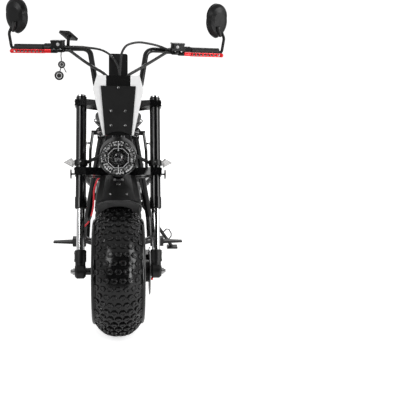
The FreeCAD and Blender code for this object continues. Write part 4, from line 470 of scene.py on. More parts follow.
# Saddle: foam on a steel pan under a stitched black cover. The top is quilted in diamonds,
# the sides are one smooth strip, and a piped seam runs round the edge.
SADDLE_LOW = 0.704
SADDLE_TOP = SADDLE_LOW + 0.060
SADDLE_MIDDLE = 0.09
MOST_SWELL = 0.006
CLOTH_FRAMES = 20
DIAMOND = 0.046
DIAMOND_SLANT = 0.72
STITCH_HALF = 0.005
STITCH_DEEP = 0.0042
QUILT_SWELL = 0.0012
TOP_FROM = 0.55
SEAM_UP = SADDLE_LOW + 0.030
SEAM_HALF = 0.003
SEAM_DEEP = 0.0016
# half the saddle's plan from its tail to its nose. columns: half width, place along Y
SADDLE_PLAN = (
    (0.0, 0.278), (0.055, 0.270), (0.088, 0.248), (0.112, 0.222), (0.122, 0.190), (0.120, 0.155),
    (0.108, 0.112), (0.088, 0.068), (0.066, 0.025), (0.051, -0.020), (0.042, -0.060), (0.030, -0.086),
    (0.014, -0.098), (0.0, -0.100),
)
# columns: height, share of the plan
SADDLE_LEVELS = ((0.004, 0.90), (0.014, 0.985), (0.028, 1.0), (0.042, 0.97), (0.050, 0.86), (0.053, 0.6))
hide = Finish("saddle_cover", (0.012, 0.012, 0.012), 0.42, Specular_IOR_Level=0.4)
hide.tint(hide.noise(20, 5.0), grey(0.008), grey(0.02))
hide.gloss(hide.noise(35, 4.0), 0.3, 0.48)
hide.grain(hide.texture("Voronoi", {"feature": "DISTANCE_TO_EDGE"}, Scale=420.0), 0.0006, 0.45)
plan = list(SADDLE_PLAN) + [(-x, y) for x, y in SADDLE_PLAN[-2:0:-1]]
rings = []
for height, share in SADDLE_LEVELS:
    ring = []
    for x, y in plan:
        dip = 0.006 * math.cos((y - 0.02) / 0.14) if height > 0.04 else 0.0
        reach = SADDLE_MIDDLE + (y - SADDLE_MIDDLE) * share
        ring.append(Vector((x * share, reach, SADDLE_LOW + height - max(0.0, dip))))
    rings.append(ring)
cushion = Form().skin(rings).made("saddle_cushion", hide, "chassis", "saddle_leather", 80)


def settle(item):
    """Turns an object's modifiers into its own mesh."""
    graph = bpy.context.evaluated_depsgraph_get()
    mesh = bpy.data.meshes.new_from_object(item.evaluated_get(graph))
    item.modifiers.clear()
    item.data = mesh


bpy.context.view_layer.objects.active = cushion
remesh = cushion.modifiers.new("remesh", "REMESH")
remesh.mode = "VOXEL"
remesh.voxel_size = 0.005
remesh.use_smooth_shade = True
settle(cushion)
unpadded = [vert.co.copy() for vert in cushion.data.vertices]
cloth = cushion.modifiers.new("cloth", "CLOTH")
for name, value in (
    ("quality", 5), ("use_pressure", True), ("uniform_pressure_force", 4),
    ("tension_stiffness", 20), ("compression_stiffness", 20),
):
    setattr(cloth.settings, name, value)
cloth.settings.effector_weights.gravity = 0
cloth.point_cache.frame_start = 1
cloth.point_cache.frame_end = CLOTH_FRAMES
for step in range(1, CLOTH_FRAMES + 1):
    bpy.context.scene.frame_set(step)
settle(cushion)
bpy.context.scene.frame_set(1)
for vert, before in zip(cushion.data.vertices, unpadded):
    shift = vert.co - before
    if shift.length > MOST_SWELL:
        vert.co = before + shift * (MOST_SWELL / shift.length)
finer = cushion.modifiers.new("finer", "SUBSURF")
finer.levels = 1
finer.render_levels = 1
settle(cushion)
mesh = cushion.data
for vert in mesh.vertices:
    spot = vert.co
    up = vert.normal.z
    first = (spot.x + spot.y * DIAMOND_SLANT) / DIAMOND
    second = (spot.x - spot.y * DIAMOND_SLANT) / DIAMOND
    gap = min(abs(first - round(first)), abs(second - round(second))) * DIAMOND * 0.8
    if up > TOP_FROM:
        groove = max(0.0, 1 - gap / STITCH_HALF) ** 1.5
        swell = min(1.0, gap / 0.016)
        amount = min(1.0, (up - TOP_FROM) / 0.2)
        spot.z += amount * (QUILT_SWELL * swell - STITCH_DEEP * groove)
    seam = abs(spot.z - SEAM_UP)
    if abs(up) < 0.6 and seam < SEAM_HALF:
        spot -= vert.normal * SEAM_DEEP * (1 - seam / SEAM_HALF)
    spot.z = min(max(spot.z, SADDLE_LOW + 0.0005), SADDLE_TOP)
for polygon in mesh.polygons:
    polygon.use_smooth = True
mesh.materials.clear()
mesh.materials.append(hide.material)
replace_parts(cushion, "saddle")
piping = Form().swept([(x, y, SADDLE_LOW + 0.006) for x, y in plan], 0.0028, 8, closed=True)
piping.made("saddle_piping", hide, "chassis", "saddle_leather", 60)

# Mudguard, panels, lamp case, saddle pan and tail: black plastic moulded with a fine
# grain, shinier where it is handled.
moulded = Finish("moulded_plastic", (0.006, 0.006, 0.0063), 0.35, Specular_IOR_Level=0.3)
moulded.tint(moulded.noise(18, 5.0), grey(0.003), grey(0.008, 0.0003))
moulded.gloss(moulded.noise(26, 4.0), 0.28, 0.44)
moulded.grain(moulded.texture("Voronoi", {"feature": "SMOOTH_F1"}, Scale=900.0), 0.0003, 0.3)
dress(
    moulded, "front_mudguard", "bar_panel", "display", "mirror_heads", "headlight_case", "saddle_pan",
    "tail_housing", "tail_cover",
)

# Tail light: a red lens with upright prisms, held in its black housing by a slim frame
# of moulded plastic. Each prism is painted from bright to dark red across its width: the
# painted light and shade of its faces.
PRISM_PITCH = 0.0045
red_lens = Finish("red_lens", (0.6, 0.003, 0.005), 0.12, Coat_Weight=0.5)
prisms = red_lens.axis("X") % PRISM_PITCH
# bright to dark red across each prism: painted light and shade of its faces
red_lens.tint(prisms * 220.0, (0.75, 0.006, 0.01, 1), (0.38, 0.002, 0.003, 1))
red_lens.gloss(red_lens.noise(200, 2.0), 0.08, 0.2)
dress(red_lens, "tail_lens")
low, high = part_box("tail_lens")
middle = (low + high) / 2
half = (high - low) / 2
bezel_y = middle.y - 0.001
bezel = Form()
for side, edge_z in ((-1, low.z - 0.0025), (1, high.z + 0.0025)):
    round_box(bezel, (0, bezel_y, edge_z), (high.x + 0.005, 0.0035, 0.0022), 0.002)
    round_box(bezel, (side * (high.x + 0.003), bezel_y, middle.z), (0.0022, 0.0035, half.z + 0.003), 0.002)
bezel.made("tail_light_bezel", moulded, "chassis", "black_plastic")

# Rear mudguard: moulded black plastic under a printed film that looks like woven fibre,
# with a clear lacquer over it.
WEAVE_GLOSS = {"Coat_Weight": 0.25, "Coat_Roughness": 0.1, "Specular_IOR_Level": 0.3}
weave = Finish("woven_film", (0.02, 0.02, 0.021), 0.3, **WEAVE_GLOSS)
checks = weave.texture("Checker", Scale=190.0, Color1=grey(0.006), Color2=grey(0.034))
weave.tint(weave.noise(12, 4.0) * 0.4, checks, grey(0.015))
weave.gloss(checks, 0.24, 0.4, 0.0, 0.05)
dress(weave, "rear_mudguard")

# Number plate: a blank pressed plate, painted black, with a rolled edge that keeps it
# stiff on its holder.
plate_metal = uneven("plate_metal", grey(0.006), grey(0.014), 0.26, 0.42, 40.0)
dress(plate_metal, "number_plate")
low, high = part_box("number_plate")
plate_up = (low.z + high.z) / 2
corners = [(0.057, 0.092), (-0.057, 0.092), (-0.057, -0.092), (0.057, -0.092)]
edge = []
for (x, z), (next_x, next_z) in zip(corners, corners[1:] + corners[:1]):
    for step in range(8):
        share = step / 8
        edge.append((x + (next_x - x) * share, high.y - 0.0012, plate_up + z + (next_z - z) * share))
plate_edge = Form().swept(edge, 0.0011, 6, closed=True)
plate_edge.made("number_plate_edge", plate_metal, "chassis", "plate_grey")

# Wheels: cast aluminium rims, painted satin black over the casting's grain. Screws hold
# the hub covers, and a valve stands up out of each rim's barrel.
casting = Finish("black_casting", (0.005, 0.005, 0.0052), 0.35, Specular_IOR_Level=0.35)
cast_grain = casting.noise(750, 3.0)
casting.tint(casting.noise(30, 5.0), grey(0.003), grey(0.008, 0.0003))
casting.gloss(cast_grain, 0.3, 0.48)
casting.grain(cast_grain, 0.0004, 0.35)
dress(
    casting, "fork_bottoms", "front_caliper", "rear_caliper", "bar_controls", "front_rim", "rear_rim",
    "side_stand",
)
WHEELBASE = 1.350
REAR_Y = FRONT_Y + WHEELBASE
# columns: name, axle, sides with screws, their number, circle, distance outward, radius
for name, axle_y, sides, count, circle, outward, radius in (
    ("front_wheel", FRONT_Y, (-1,), 5, 0.02392, 0.084, 0.0032),
    ("rear_wheel", REAR_Y, (1, -1), 12, 0.100, 0.076, 0.0045),
):
    rim_screws = Form()
    for y, z in regular(count, circle, 0.2):
        for side in sides:
            screw(rim_screws, seat((side * outward, axle_y + y, AXLE_UP + z), (side, 0, 0)), radius, 0.003)
    valve = ((0.004, -0.012), (0.004, 0.004), (0.003, 0.006), (0.003, 0.018), (0, 0.019))
    rim_screws.turned(valve, seat((0.03, axle_y, AXLE_UP + 0.130), (0, 0, -1)), 10)
    rim_screws.made(name + "_screws", steel, name, "polished_steel")

# Tyres: a black rubber casing moulded with rows of six-sided knobs, each with a dimple
# in its top. The rows are staggered, seven and six across, and the sidewalls are plain.
tyre_rubber = Finish("tyre_rubber", (0.004, 0.004, 0.0042), 0.2, Specular_IOR_Level=0.38)
bloom = tyre_rubber.noise(35, 6.0, 0.6)
tyre_rubber.tint(bloom, grey(0.002), grey(0.006, 0.0002))
tyre_rubber.gloss(bloom, 0.11, 0.22)
tyre_rubber.grain(tyre_rubber.noise(600, 3.0), 0.0003, 0.3)
TYRE_RADIUS = 0.266
KNOB_TALL = 0.008
KNOB_ROWS = 48
KNOB_PITCH = 0.03376
KNOB_ACROSS = 0.0135
KNOB_ALONG = 0.0118
# columns: share of the knob's size, height above the tips
KNOB_LEVELS = (
    (1.16, -0.0105), (1.02, -0.003), (0.98, -0.0014), (0.90, -0.0003), (0.78, 0.0),
    (0.62, -0.0001), (0.54, -0.0009), (0.48, -0.0026), (0.20, -0.0030),
)
KNOB_SUNK = 0.0006
CASING_STEPS = 144
TREAD_EDGE = 0.088
CROWN_DROP = 0.044
CROWN_POWER = 2.64
# half the outer side of the casing from the bead up. columns: from the middle plane, radius
SIDEWALL = (
    (0.0657, 0.1523), (0.0797, 0.1523), (0.0797, 0.168), (0.0905, 0.1735), (0.0985, 0.1815), (0.1035, 0.192),
    (0.1052, 0.2005), (0.1040, 0.2075), (0.1000, 0.2135), (0.0945, 0.2155), (0.0915, 0.2140),
)


def crown_radius(across):
    """Radius of the knobs' tips at a distance from the middle plane."""
    return TYRE_RADIUS - CROWN_DROP * (abs(across) / TREAD_EDGE) ** CROWN_POWER


def along_crown(reach):
    """The distance from the middle plane at a length along the crown from its middle."""
    across = 0.0
    travelled = 0.0
    step = 0.0005
    while travelled < abs(reach):
        rise = crown_radius(across + step) - crown_radius(across)
        travelled += math.hypot(step, rise)
        across += step
    return math.copysign(across, reach)


def knob(form, middle, outward, along, across):
    """One knob, square to the crown at its distance from the middle plane."""
    slope = (crown_radius(across + 0.002) - crown_radius(across - 0.002)) / 0.004
    out = (outward - Vector((1, 0, 0)) * slope).normalized()
    side = along.cross(out)
    foot = middle + Vector((across, 0, 0)) + outward * crown_radius(across) - out * KNOB_SUNK
    rings = []
    for share, height in KNOB_LEVELS:
        ring = []
        for x, y in regular(6, share):
            ring.append(foot + out * height + side * (x * KNOB_ACROSS) + along * (y * KNOB_ALONG))
        rings.append(ring)
    form.skin(rings)


def tyre(name, axle_y, body, node):
    half = list(SIDEWALL)
    for index in range(12):
        across = TREAD_EDGE * (1 - index / 12)
        half.append((across, crown_radius(across) - KNOB_TALL))
    profile = half + [(0.0, TYRE_RADIUS - KNOB_TALL)] + [(-x, reach) for x, reach in reversed(half)]
    form = Form()
    rings = []
    for y, z in regular(CASING_STEPS, 1.0):
        rings.append([(x, axle_y + reach * y, AXLE_UP + reach * z) for x, reach in profile])
    rings.append(rings[0])
    form.skin(rings, ends=False, around=False)
    middle = Vector((0, axle_y, AXLE_UP))
    for row in range(KNOB_ROWS):
        angle = 2 * math.pi * row / KNOB_ROWS - math.pi / 2
        outward = Vector((0, math.cos(angle), math.sin(angle)))
        along = Vector((0, -math.sin(angle), math.cos(angle)))
        for across in knob_places[row % 2]:
            knob(form, middle, outward, along, across)
    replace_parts(form.made(name, tyre_rubber, body, "tyre_rubber", 40), node)


knob_places = []
for count in (6, 7):
    knob_places.append([along_crown((index - (count - 1) / 2) * KNOB_PITCH) for index in range(count)])
tyre("front_tyre_tread", FRONT_Y, "front_wheel", "front_tyre")
tyre("rear_tyre_tread", REAR_Y, "rear_wheel", "rear_tyre")

# Brake discs: steel rings drilled with slanted rows of holes, ground with fine circles,
# and held to the hub by six screws.
ground = uneven("ground_steel", grey(0.3, 0.005), grey(0.5), 0.22, 0.4, 22.0, 1.0)
DISC_SIDE = 0.128
DISC_HALF = 0.002
DISC_SECTORS = 36
# the radii that part the bands of the disc, from its bore out
DISC_BANDS = (0.030, 0.052, 0.062, 0.074, 0.086, 0.098)
BAND_SHIFT = 0.34
DRILLED_BANDS = (2, 3, 4)
HOLE_RADIUS = 0.0031
DISC_SCREW_CIRCLE = 0.038
EDGE_STEPS = 144


def brake_disc(name, axle_y, body, node):
    form = Form()

    def at(radius, turn, side):
        across = DISC_SIDE + side * DISC_HALF
        return (across, axle_y + radius * math.cos(turn), AXLE_UP + radius * math.sin(turn))

    for sector in range(DISC_SECTORS):
        for band_index, (inner, outer) in enumerate(zip(DISC_BANDS, DISC_BANDS[1:])):
            start = 2 * math.pi * (sector + band_index * BAND_SHIFT) / DISC_SECTORS
            stop = start + 2 * math.pi / DISC_SECTORS
            centre = (start + stop) / 2
            mid = (inner + outer) / 2
            border = (
                (inner, start), (inner, centre), (inner, stop), (mid, stop),
                (outer, stop), (outer, centre), (outer, start), (mid, start),
            )
            borders = [[at(radius, turn, side) for radius, turn in border] for side in (1, -1)]
            if band_index in DRILLED_BANDS and (sector + band_index) % 2 == 0:
                hole = [(mid + x, centre + y / mid) for x, y in regular(8, HOLE_RADIUS, math.pi * 1.25)]
                holes = [[at(radius, turn, side) for radius, turn in hole] for side in (1, -1)]
                for rings in (*zip(borders, holes), holes):
                    form.skin(rings, ends=False)
            else:
                for outside in borders:
                    form.add(outside, [tuple(range(len(border)))])
    for radius in (DISC_BANDS[0], DISC_BANDS[-1]):
        rings = []
        for side in (1, -1):
            rings.append([at(radius, 2 * math.pi * step / EDGE_STEPS, side) for step in range(EDGE_STEPS)])
        form.skin(rings, ends=False)
    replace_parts(form.made(name, ground, body, "disc_steel", 30), node)


brake_disc("front_drilled_disc", FRONT_Y, "front_wheel", "front_disc")
brake_disc("rear_drilled_disc", REAR_Y, "rear_wheel", "rear_disc")
# the front caliper passes close to the hub, so the front disc is held from behind
rows = []
for y, z in regular(6, DISC_SCREW_CIRCLE):
    rows.append(((DISC_SIDE + DISC_HALF, REAR_Y + y, AXLE_UP + z), (1, 0, 0), 0.0045, 0.0035))
screws("rear_drilled_disc_screws", "rear_wheel", rows)

# Axles: turned steel with a six-sided nut and a washer at each end, bright outside the
# fork and the swingarm and near black between them.
BRIGHT_FROM = 0.135
axle_steel = Finish("axle_steel", (0.4, 0.4, 0.4), 0.3, 0.9)
outboard = abs(axle_steel.axis("X")) > BRIGHT_FROM
# near black and not metallic between the fork legs and between the swingarm's arms
axle_steel.tint(outboard, grey(0.006), grey(0.45))
axle_steel.set("Metallic", outboard * 0.9)
axle_steel.gloss(axle_steel.noise(120, 3.0), 0.2, 0.4)
dress(axle_steel, "front_axle", "rear_axle")

# Calipers: cast black bodies with two bolts each, and on the front one a red anodised
# bolt where the hose enters.
CALIPER_FACE = 0.145
rows = []
for behind, along in ((0.060, 0.058), (0.086, 0.012)):
    rows.append((on_fork(CALIPER_FACE, behind, along), (1, 0, 0), 0.006, 0.003))
screws("front_caliper_bolts", "steering", rows)
red_anodised = uneven("red_anodised", (0.5, 0.004, 0.008, 1), (0.72, 0.014, 0.018, 1), 0.18, 0.32, 70.0, 0.75)
red_bolt = Form()
red_seat = seat(on_fork(CALIPER_FACE, 0.075, 0.035), (1, 0, 0))
red_bolt.turned(((0.007, -0.001), (0.007, 0.003), (0.005, 0.0045), (0, 0.0045)), red_seat, 12)
round_box(red_bolt, (0.137, -0.7270, 0.2420), (0.005, 0.006, 0.005), 0.003)
red_bolt.made("front_caliper_cap", red_anodised, "steering", "red_metal")
rows = []
for degrees in (125, 147):
    turn = math.radians(degrees)
    spot = (CALIPER_FACE, REAR_Y + 0.086 * math.cos(turn), AXLE_UP + 0.086 * math.sin(turn))
    rows.append((spot, (1, 0, 0), 0.006, 0.003))
screws("rear_caliper_bolts", "chassis", rows)

# Fork: upper tubes in black enamel with a rubber wiper at their collars, bright sliding
# tubes, six-sided top caps, and pinch bolts in the clamps and the fork bottoms.
FORK_SIDE = 0.155
COLLAR_WIPER = ((0.0235, -0.004), (0.0235, 0.0), (0.0215, 0.0035), (0.0172, 0.0045), (0.0172, 0.0))
FOOT_WIPER = ((0.0235, -0.003), (0.0232, 0.001), (0.0205, 0.003), (0.0172, 0.0035), (0.0172, 0.0))
bezel_finish = uneven("bezel_black", grey(0.005), grey(0.01), 0.12, 0.25, 40.0)
soft_rubber = uneven("soft_rubber", grey(0.007), grey(0.014), 0.5, 0.7, 60.0)
wipers = Form()
caps = Form()
rows = []
for side in (1, -1):
    wipers.turned(COLLAR_WIPER, seat(on_fork(side * FORK_SIDE, 0, 0.262), -FORK_UP), 32, True)
    wipers.turned(FOOT_WIPER, seat(on_fork(side * FORK_SIDE, 0, 0.084), FORK_UP), 32, True)
    nut(caps, seat(on_fork(side * FORK_SIDE, 0, 0.7433), FORK_UP), 0.0105, 0.0022)
    for along in (0.403, 0.424, 0.699, 0.714):
        rows.append((on_fork(side * 0.181, -0.012, along), (side, 0, 0), 0.0045, 0.003))
    for along in (0.045, 0.074):
        rows.append((on_fork(side * 0.1795, 0.0, along), (side, 0, 0), 0.004, 0.0025))
    # the bolt that closes the lamp's ring round the leg
    rows.append((on_fork(side * FORK_SIDE, -0.028, 0.452), -FORK_BACK, 0.0038, 0.003))
wipers.made("fork_wipers", soft_rubber, "steering", "grip_rubber")
caps.made("fork_cap_nuts", bezel_finish, "steering", "black_plastic")
screws("fork_pinch_bolts", "steering", rows)

# Front mudguard: its brace slopes up to the clamp, with a small steel bracket on it and
# two screws near its foot. A rolled lip stiffens the mudguard's front edge; its lighter
# plastic is a painted highlight along that edge.
BRACE_OUT = Vector((0, -0.2996, 0.954))
bracket = Form()
bracket_place = seat((0, -0.600, 0.6162), BRACE_OUT, (0, 1, 0))
round_box(bracket, (0, 0.014, 0.0035), (0.021, 0.006, 0.0035), 0.0025, bracket_place)
round_box(bracket, (0, -0.006, 0.0030), (0.009, 0.016, 0.0030), 0.0025, bracket_place)
for side in (1, -1):
    screw(bracket, seat(bracket_place @ Vector((side * 0.0155, 0.014, 0.0070)), BRACE_OUT), 0.0042, 0.003)
bracket.made("mudguard_bracket", steel, "steering", "polished_steel")
rows = [((side * 0.033, -0.680, 0.5907), BRACE_OUT, 0.0046, 0.003) for side in (1, -1)]
screws("mudguard_screws", "steering", rows)
LIP_TURN = math.radians(94)
# half of the mudguard's front edge. columns: from the middle plane, radius
LIP_EDGE = (
    (0.0905, 0.269), (0.0905, 0.287), (0.0885, 0.2935), (0.070, 0.3015), (0.049, 0.3095), (0.0, 0.3105),
)
line = []
for x, reach in LIP_EDGE + tuple((-x, reach) for x, reach in LIP_EDGE[-2::-1]):
    line.append((x, FRONT_Y + reach * math.cos(LIP_TURN), AXLE_UP + reach * math.sin(LIP_TURN)))
# the lip is lighter than the mudguard's plastic: a painted highlight along its edge
lip_painted_highlight = uneven("lip_painted_highlight", grey(0.02), grey(0.05), 0.08, 0.2, 30.0)
lip = Form().swept(line, 0.0026, 8)
lip.made("mudguard_lip", lip_painted_highlight, "steering", "black_plastic", 60)

# Fairing: white plastic with a glossy lacquer, clipped across the fork, its sides folded
# back. Above and below the front plate its middle is black.
PLATE_LOW = 0.8230
PLATE_HIGH = 0.9880
PLATE_HALF = 0.0500
LACQUER_COAT = {"Coat_Weight": 0.3, "Coat_Roughness": 0.04}
lacquer = uneven("white_lacquer", grey(0.78), grey(0.84), 0.12, 0.22, 7.0, **LACQUER_COAT)
beyond_plate = (lacquer.axis("Z") > PLATE_HIGH) + (lacquer.axis("Z") < PLATE_LOW)
in_middle = (abs(lacquer.axis("X")) < PLATE_HALF) * beyond_plate
white = lacquer.mix(lacquer.noise(7, 5.0), grey(0.72), grey(0.77))
lacquer.tint(in_middle, white, grey(0.006))
dress(lacquer, "fairing")

# Front plate: satin black metal in front of the fairing, cut from sheet and held by five
# bright screws.
plate_coat = uneven("plate_coat", grey(0.006), grey(0.010), 0.4, 0.55, 14.0, Specular_IOR_Level=0.2)
plate_coat.grain(plate_coat.noise(800, 2.0), 0.0002, 0.35)
dress(plate_coat, "front_plate")
rows = []
for side, along in ((0, 0.7435), (0.0285, 0.645), (-0.0285, 0.645), (0.029, 0.584), (-0.029, 0.584)):
    rows.append((on_fork(side, -0.1163, along), -FORK_BACK, 0.0058, 0.0038))
screws("front_plate_screws", "steering", rows)

# Headlight: a light ring in eight parts, each with a row of small cells, an eight-sided
# trim with a cross, and a round projector lens behind a clear cover. The ring is painted
# bright: its white and dark flecks are painted glints of a faceted reflector.
LAMP_UP = AXLE_UP + 0.453
LAMP_FRONT = FRONT_Y + 0.095
LAMP_PARTS = 8
PART_HALF = 0.43
CELL_PITCH = 0.19
CELL_CIRCLE = 0.061
RING_OUTER = 0.071
RING_INNER = 0.051
lamp = seat((0, LAMP_FRONT + 0.0257, LAMP_UP), (0, -1, 0))


def on_lamp(radius, part, rise):
    """A point in the lamp: part counts the ring's eight parts from the lamp's left."""
    turn = 2 * math.pi * part / LAMP_PARTS
    return Vector((radius * math.cos(turn), radius * math.sin(turn), rise))


reflector = Finish("lamp_reflector", (0.8, 0.8, 0.8), 0.15, 0.1)
glints = reflector.texture("Voronoi", Scale=120.0)
# the ring's colour is painted glints: white and dark cells for a faceted reflector's reflections
reflector.set("Base Color", reflector.ramp(glints, (0.42, 0.92), (0.60, 0.12)))
reflector.gloss(glints, 0.06, 0.25, 0.1, 0.6)
reflector.grain(glints, 0.002, 0.8)
dark_lamp = uneven("lamp_black", grey(0.004), grey(0.010), 0.2, 0.4, 80.0)
floor_profile = ((0.0722, -0.001), (0.0722, 0.001), (0.0495, 0.0025), (0.030, 0.001), (0, 0.001))
lamp_floor = Form().turned(floor_profile, lamp, 48)
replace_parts(lamp_floor.made("headlight_floor", dark_lamp, "steering", "black_plastic"), "lamp_insert")
cell_profile = ((0.0035, 0.0), (0.0035, 0.0018), (0.0022, 0.003), (0, 0.0034))
ring_parts = Form()
cells = Form()
for index in range(LAMP_PARTS):
    parts = [index - PART_HALF + 2 * PART_HALF * step / 6 for step in range(7)]
    rings = []
    for inset, rise in ((0.0, 0.0), (0.0, 0.012), (0.0015, 0.014), (0.006, 0.010)):
        outside = [on_lamp(RING_OUTER - inset, part, rise) for part in parts]
        rings.append(outside + [on_lamp(RING_INNER + inset, part, rise) for part in reversed(parts)])
    ring_parts.skin(rings, lamp)
    for cell in range(4):
        spot = lamp @ on_lamp(CELL_CIRCLE, index + (cell - 1.5) * CELL_PITCH, 0.0095)
        cells.turned(cell_profile, seat(spot, (0, -1, 0)), 8)
ring_parts.made("headlight_ring", reflector, "steering", "polished_steel", 30)
cells.made("headlight_cells", dark_lamp, "steering", "black_plastic")
rings = []
for radius, rise in (
    (0.0460, 0.001), (0.0460, 0.019), (0.0450, 0.020), (0.0430, 0.020), (0.0425, 0.019), (0.0425, 0.001),
):
    rings.append([(x, y, rise) for x, y in regular(8, radius, math.pi / 8)])
trim = Form().skin(rings, lamp, ends=False)
for quarter in range(4):
    arm = lamp @ Matrix.Rotation(math.pi / 2 * quarter, 4, "Z")
    round_box(trim, (0.0495, 0, 0.012), (0.0215, 0.0016, 0.004), 0.0012, arm)
trim.made("headlight_trim", chrome, "steering", "polished_steel", 30)
projector_rim = Form().turned(
    ((0.029, 0.0), (0.029, 0.014), (0.0275, 0.017), (0.0235, 0.0175), (0.0225, 0.014), (0.0225, 0.0)),
    lamp, 40, True,
)
projector_rim.made("headlight_projector_rim", dark_lamp, "steering", "black_plastic")
lens_glass = Finish("projector_lens", (0.02, 0.022, 0.025), 0.03, Specular_IOR_Level=0.9, Coat_Weight=0.5)
lens_glass.tint(lens_glass.noise(90, 3.0), grey(0.004), grey(0.03, 0.004))
lens_profile = ((0.0228, 0.012), (0.0205, 0.0168), (0.0155, 0.0208), (0.008, 0.0232), (0, 0.024))
projector = Form().turned(lens_profile, lamp, 40)
projector.made("headlight_projector", lens_glass, "steering", "lamp_glass", 80)
clear = Finish("clear_cover", (0.01, 0.01, 0.01), 0.03, Alpha=0.06)
clear.gloss(clear.noise(60, 3.0), 0.02, 0.06, 0.4, 0.8)
dress(clear, "headlight_glass")
lamp_bezel = Form().turned(
    ((0.0762, 0.0), (0.0762, 0.002), (0.0745, 0.0035), (0.0725, 0.002), (0.0722, -0.003)),
    seat((0, LAMP_FRONT - 0.0005, LAMP_UP), (0, -1, 0)), 64, True,
)
lamp_bezel.made("headlight_bezel", bezel_finish, "steering", "black_plastic")

# Grips and handlebar clamp: the grips are ribbed rubber sleeves pushed over the bar. The
# clamp is closed by four steel bolts in its top.
grip_rubber = Finish("grip_rubber", (0.008, 0.008, 0.008), 0.55)
grip_rubber.tint(grip_rubber.noise(60, 4.0), grey(0.006), grey(0.014))
grip_rubber.gloss(grip_rubber.noise(300, 2.0), 0.45, 0.66)
grip_rubber.grain(grip_rubber.texture("Wave", {"bands_direction": "X"}, Scale=55.0), 0.0009, 0.6)
dress(grip_rubber, "grips", "footpegs")
rows = []
for side in (0.024, -0.024):
    for behind in (0.003, 0.033):
        rows.append((on_fork(side, behind, 0.7925), FORK_UP, 0.005, 0.004))
screws("handlebar_clamp_screws", "steering", rows)

# Cables of the handlebar: black plastic sleeves, the two looms wrapped in tape. They run
# from the controls down behind the fairing.
sleeve = Finish("cable_sleeve", (0.006, 0.006, 0.006), 0.35)
sleeve.tint(sleeve.noise(70, 4.0), grey(0.004), grey(0.016))
sleeve.gloss(sleeve.noise(150, 2.0), 0.25, 0.45)
sleeve.grain(sleeve.texture("Wave", {"bands_direction": "DIAGONAL"}, Scale=60.0), 0.0008, 0.6)
dress(sleeve, "bar_cables")

# Brake levers: red anodised aluminium, each blade milled through in a row of slots and
# ending in a ball, its root black and thicker where the pivot bolt goes through.
BAR_END = Vector((0.451, FRONT_Y + 0.546, AXLE_UP + 0.835))
BAR_BEND = Vector((0.124, FRONT_Y + 0.482, AXLE_UP + 0.846))
LEVER_AHEAD = 0.0440
LEVER_DROP = -0.0095
LEVER_ROOT = 0.290
LEVER_REDS = ((0.58, 0.004, 0.008, 1), (0.82, 0.02, 0.025, 1))
SLOT_PITCH = 0.0165
bar_line = (BAR_END - BAR_BEND).normalized()
bar_ahead = bar_line.cross(Vector((0, 0, 1))).normalized()
bar_above = bar_ahead.cross(bar_line).normalized()


def by_bar(from_end, ahead, above, side):
    """A point beside the handlebar, measured in from its end."""
    return mirrored(BAR_END - bar_line * from_end + bar_ahead * ahead + bar_above * above, side)


lever_finish = uneven("lever_red", *LEVER_REDS, 0.16, 0.32, 45.0, 0.45)
lever_root = abs(lever_finish.axis("X")) < LEVER_ROOT
lever_finish.tint(lever_root, lever_finish.mix(lever_finish.noise(45, 4.0), *LEVER_REDS), grey(0.006))
LEVER_BALL = (
    (0, -0.0092), (0.005, -0.008), (0.0084, -0.004), (0.0092, 0), (0.0084, 0.004), (0.005, 0.008),
    (0, 0.0092),
)
levers = Form()
rows = []
for side in (1, -1):
    axes = (-mirrored(bar_line, side), mirrored(bar_ahead, side), mirrored(bar_above, side))
    place = placed(by_bar(0, LEVER_AHEAD, LEVER_DROP, side), *axes)
    for rail in (0.0062, -0.0062):
        round_box(levers, (0.072, 0, rail), (0.074, 0.0048, 0.0020), 0.0016, place)
    for slot_index in range(9):
        round_box(levers, (0.004 + slot_index * SLOT_PITCH, 0, 0), (0.0026, 0.0044, 0.0062), 0.0012, place)
    round_box(levers, (0.172, -0.001, 0.001), (0.030, 0.0060, 0.0082), 0.004, place)
    round_box(levers, (0.212, -0.004, 0.003), (0.018, 0.0075, 0.0070), 0.005, place)
    levers.turned(LEVER_BALL, place @ Matrix.Translation((-0.001, 0, 0)), 16)
    pin = by_bar(0.214, LEVER_AHEAD - 0.004, LEVER_DROP + 0.010, side)
    rows.append((pin, mirrored(bar_above, side), 0.0052, 0.0025))
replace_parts(levers.made("slotted_levers", lever_finish, "steering", "red_metal", 40), "brake_levers")
screws("lever_pins", "steering", rows)

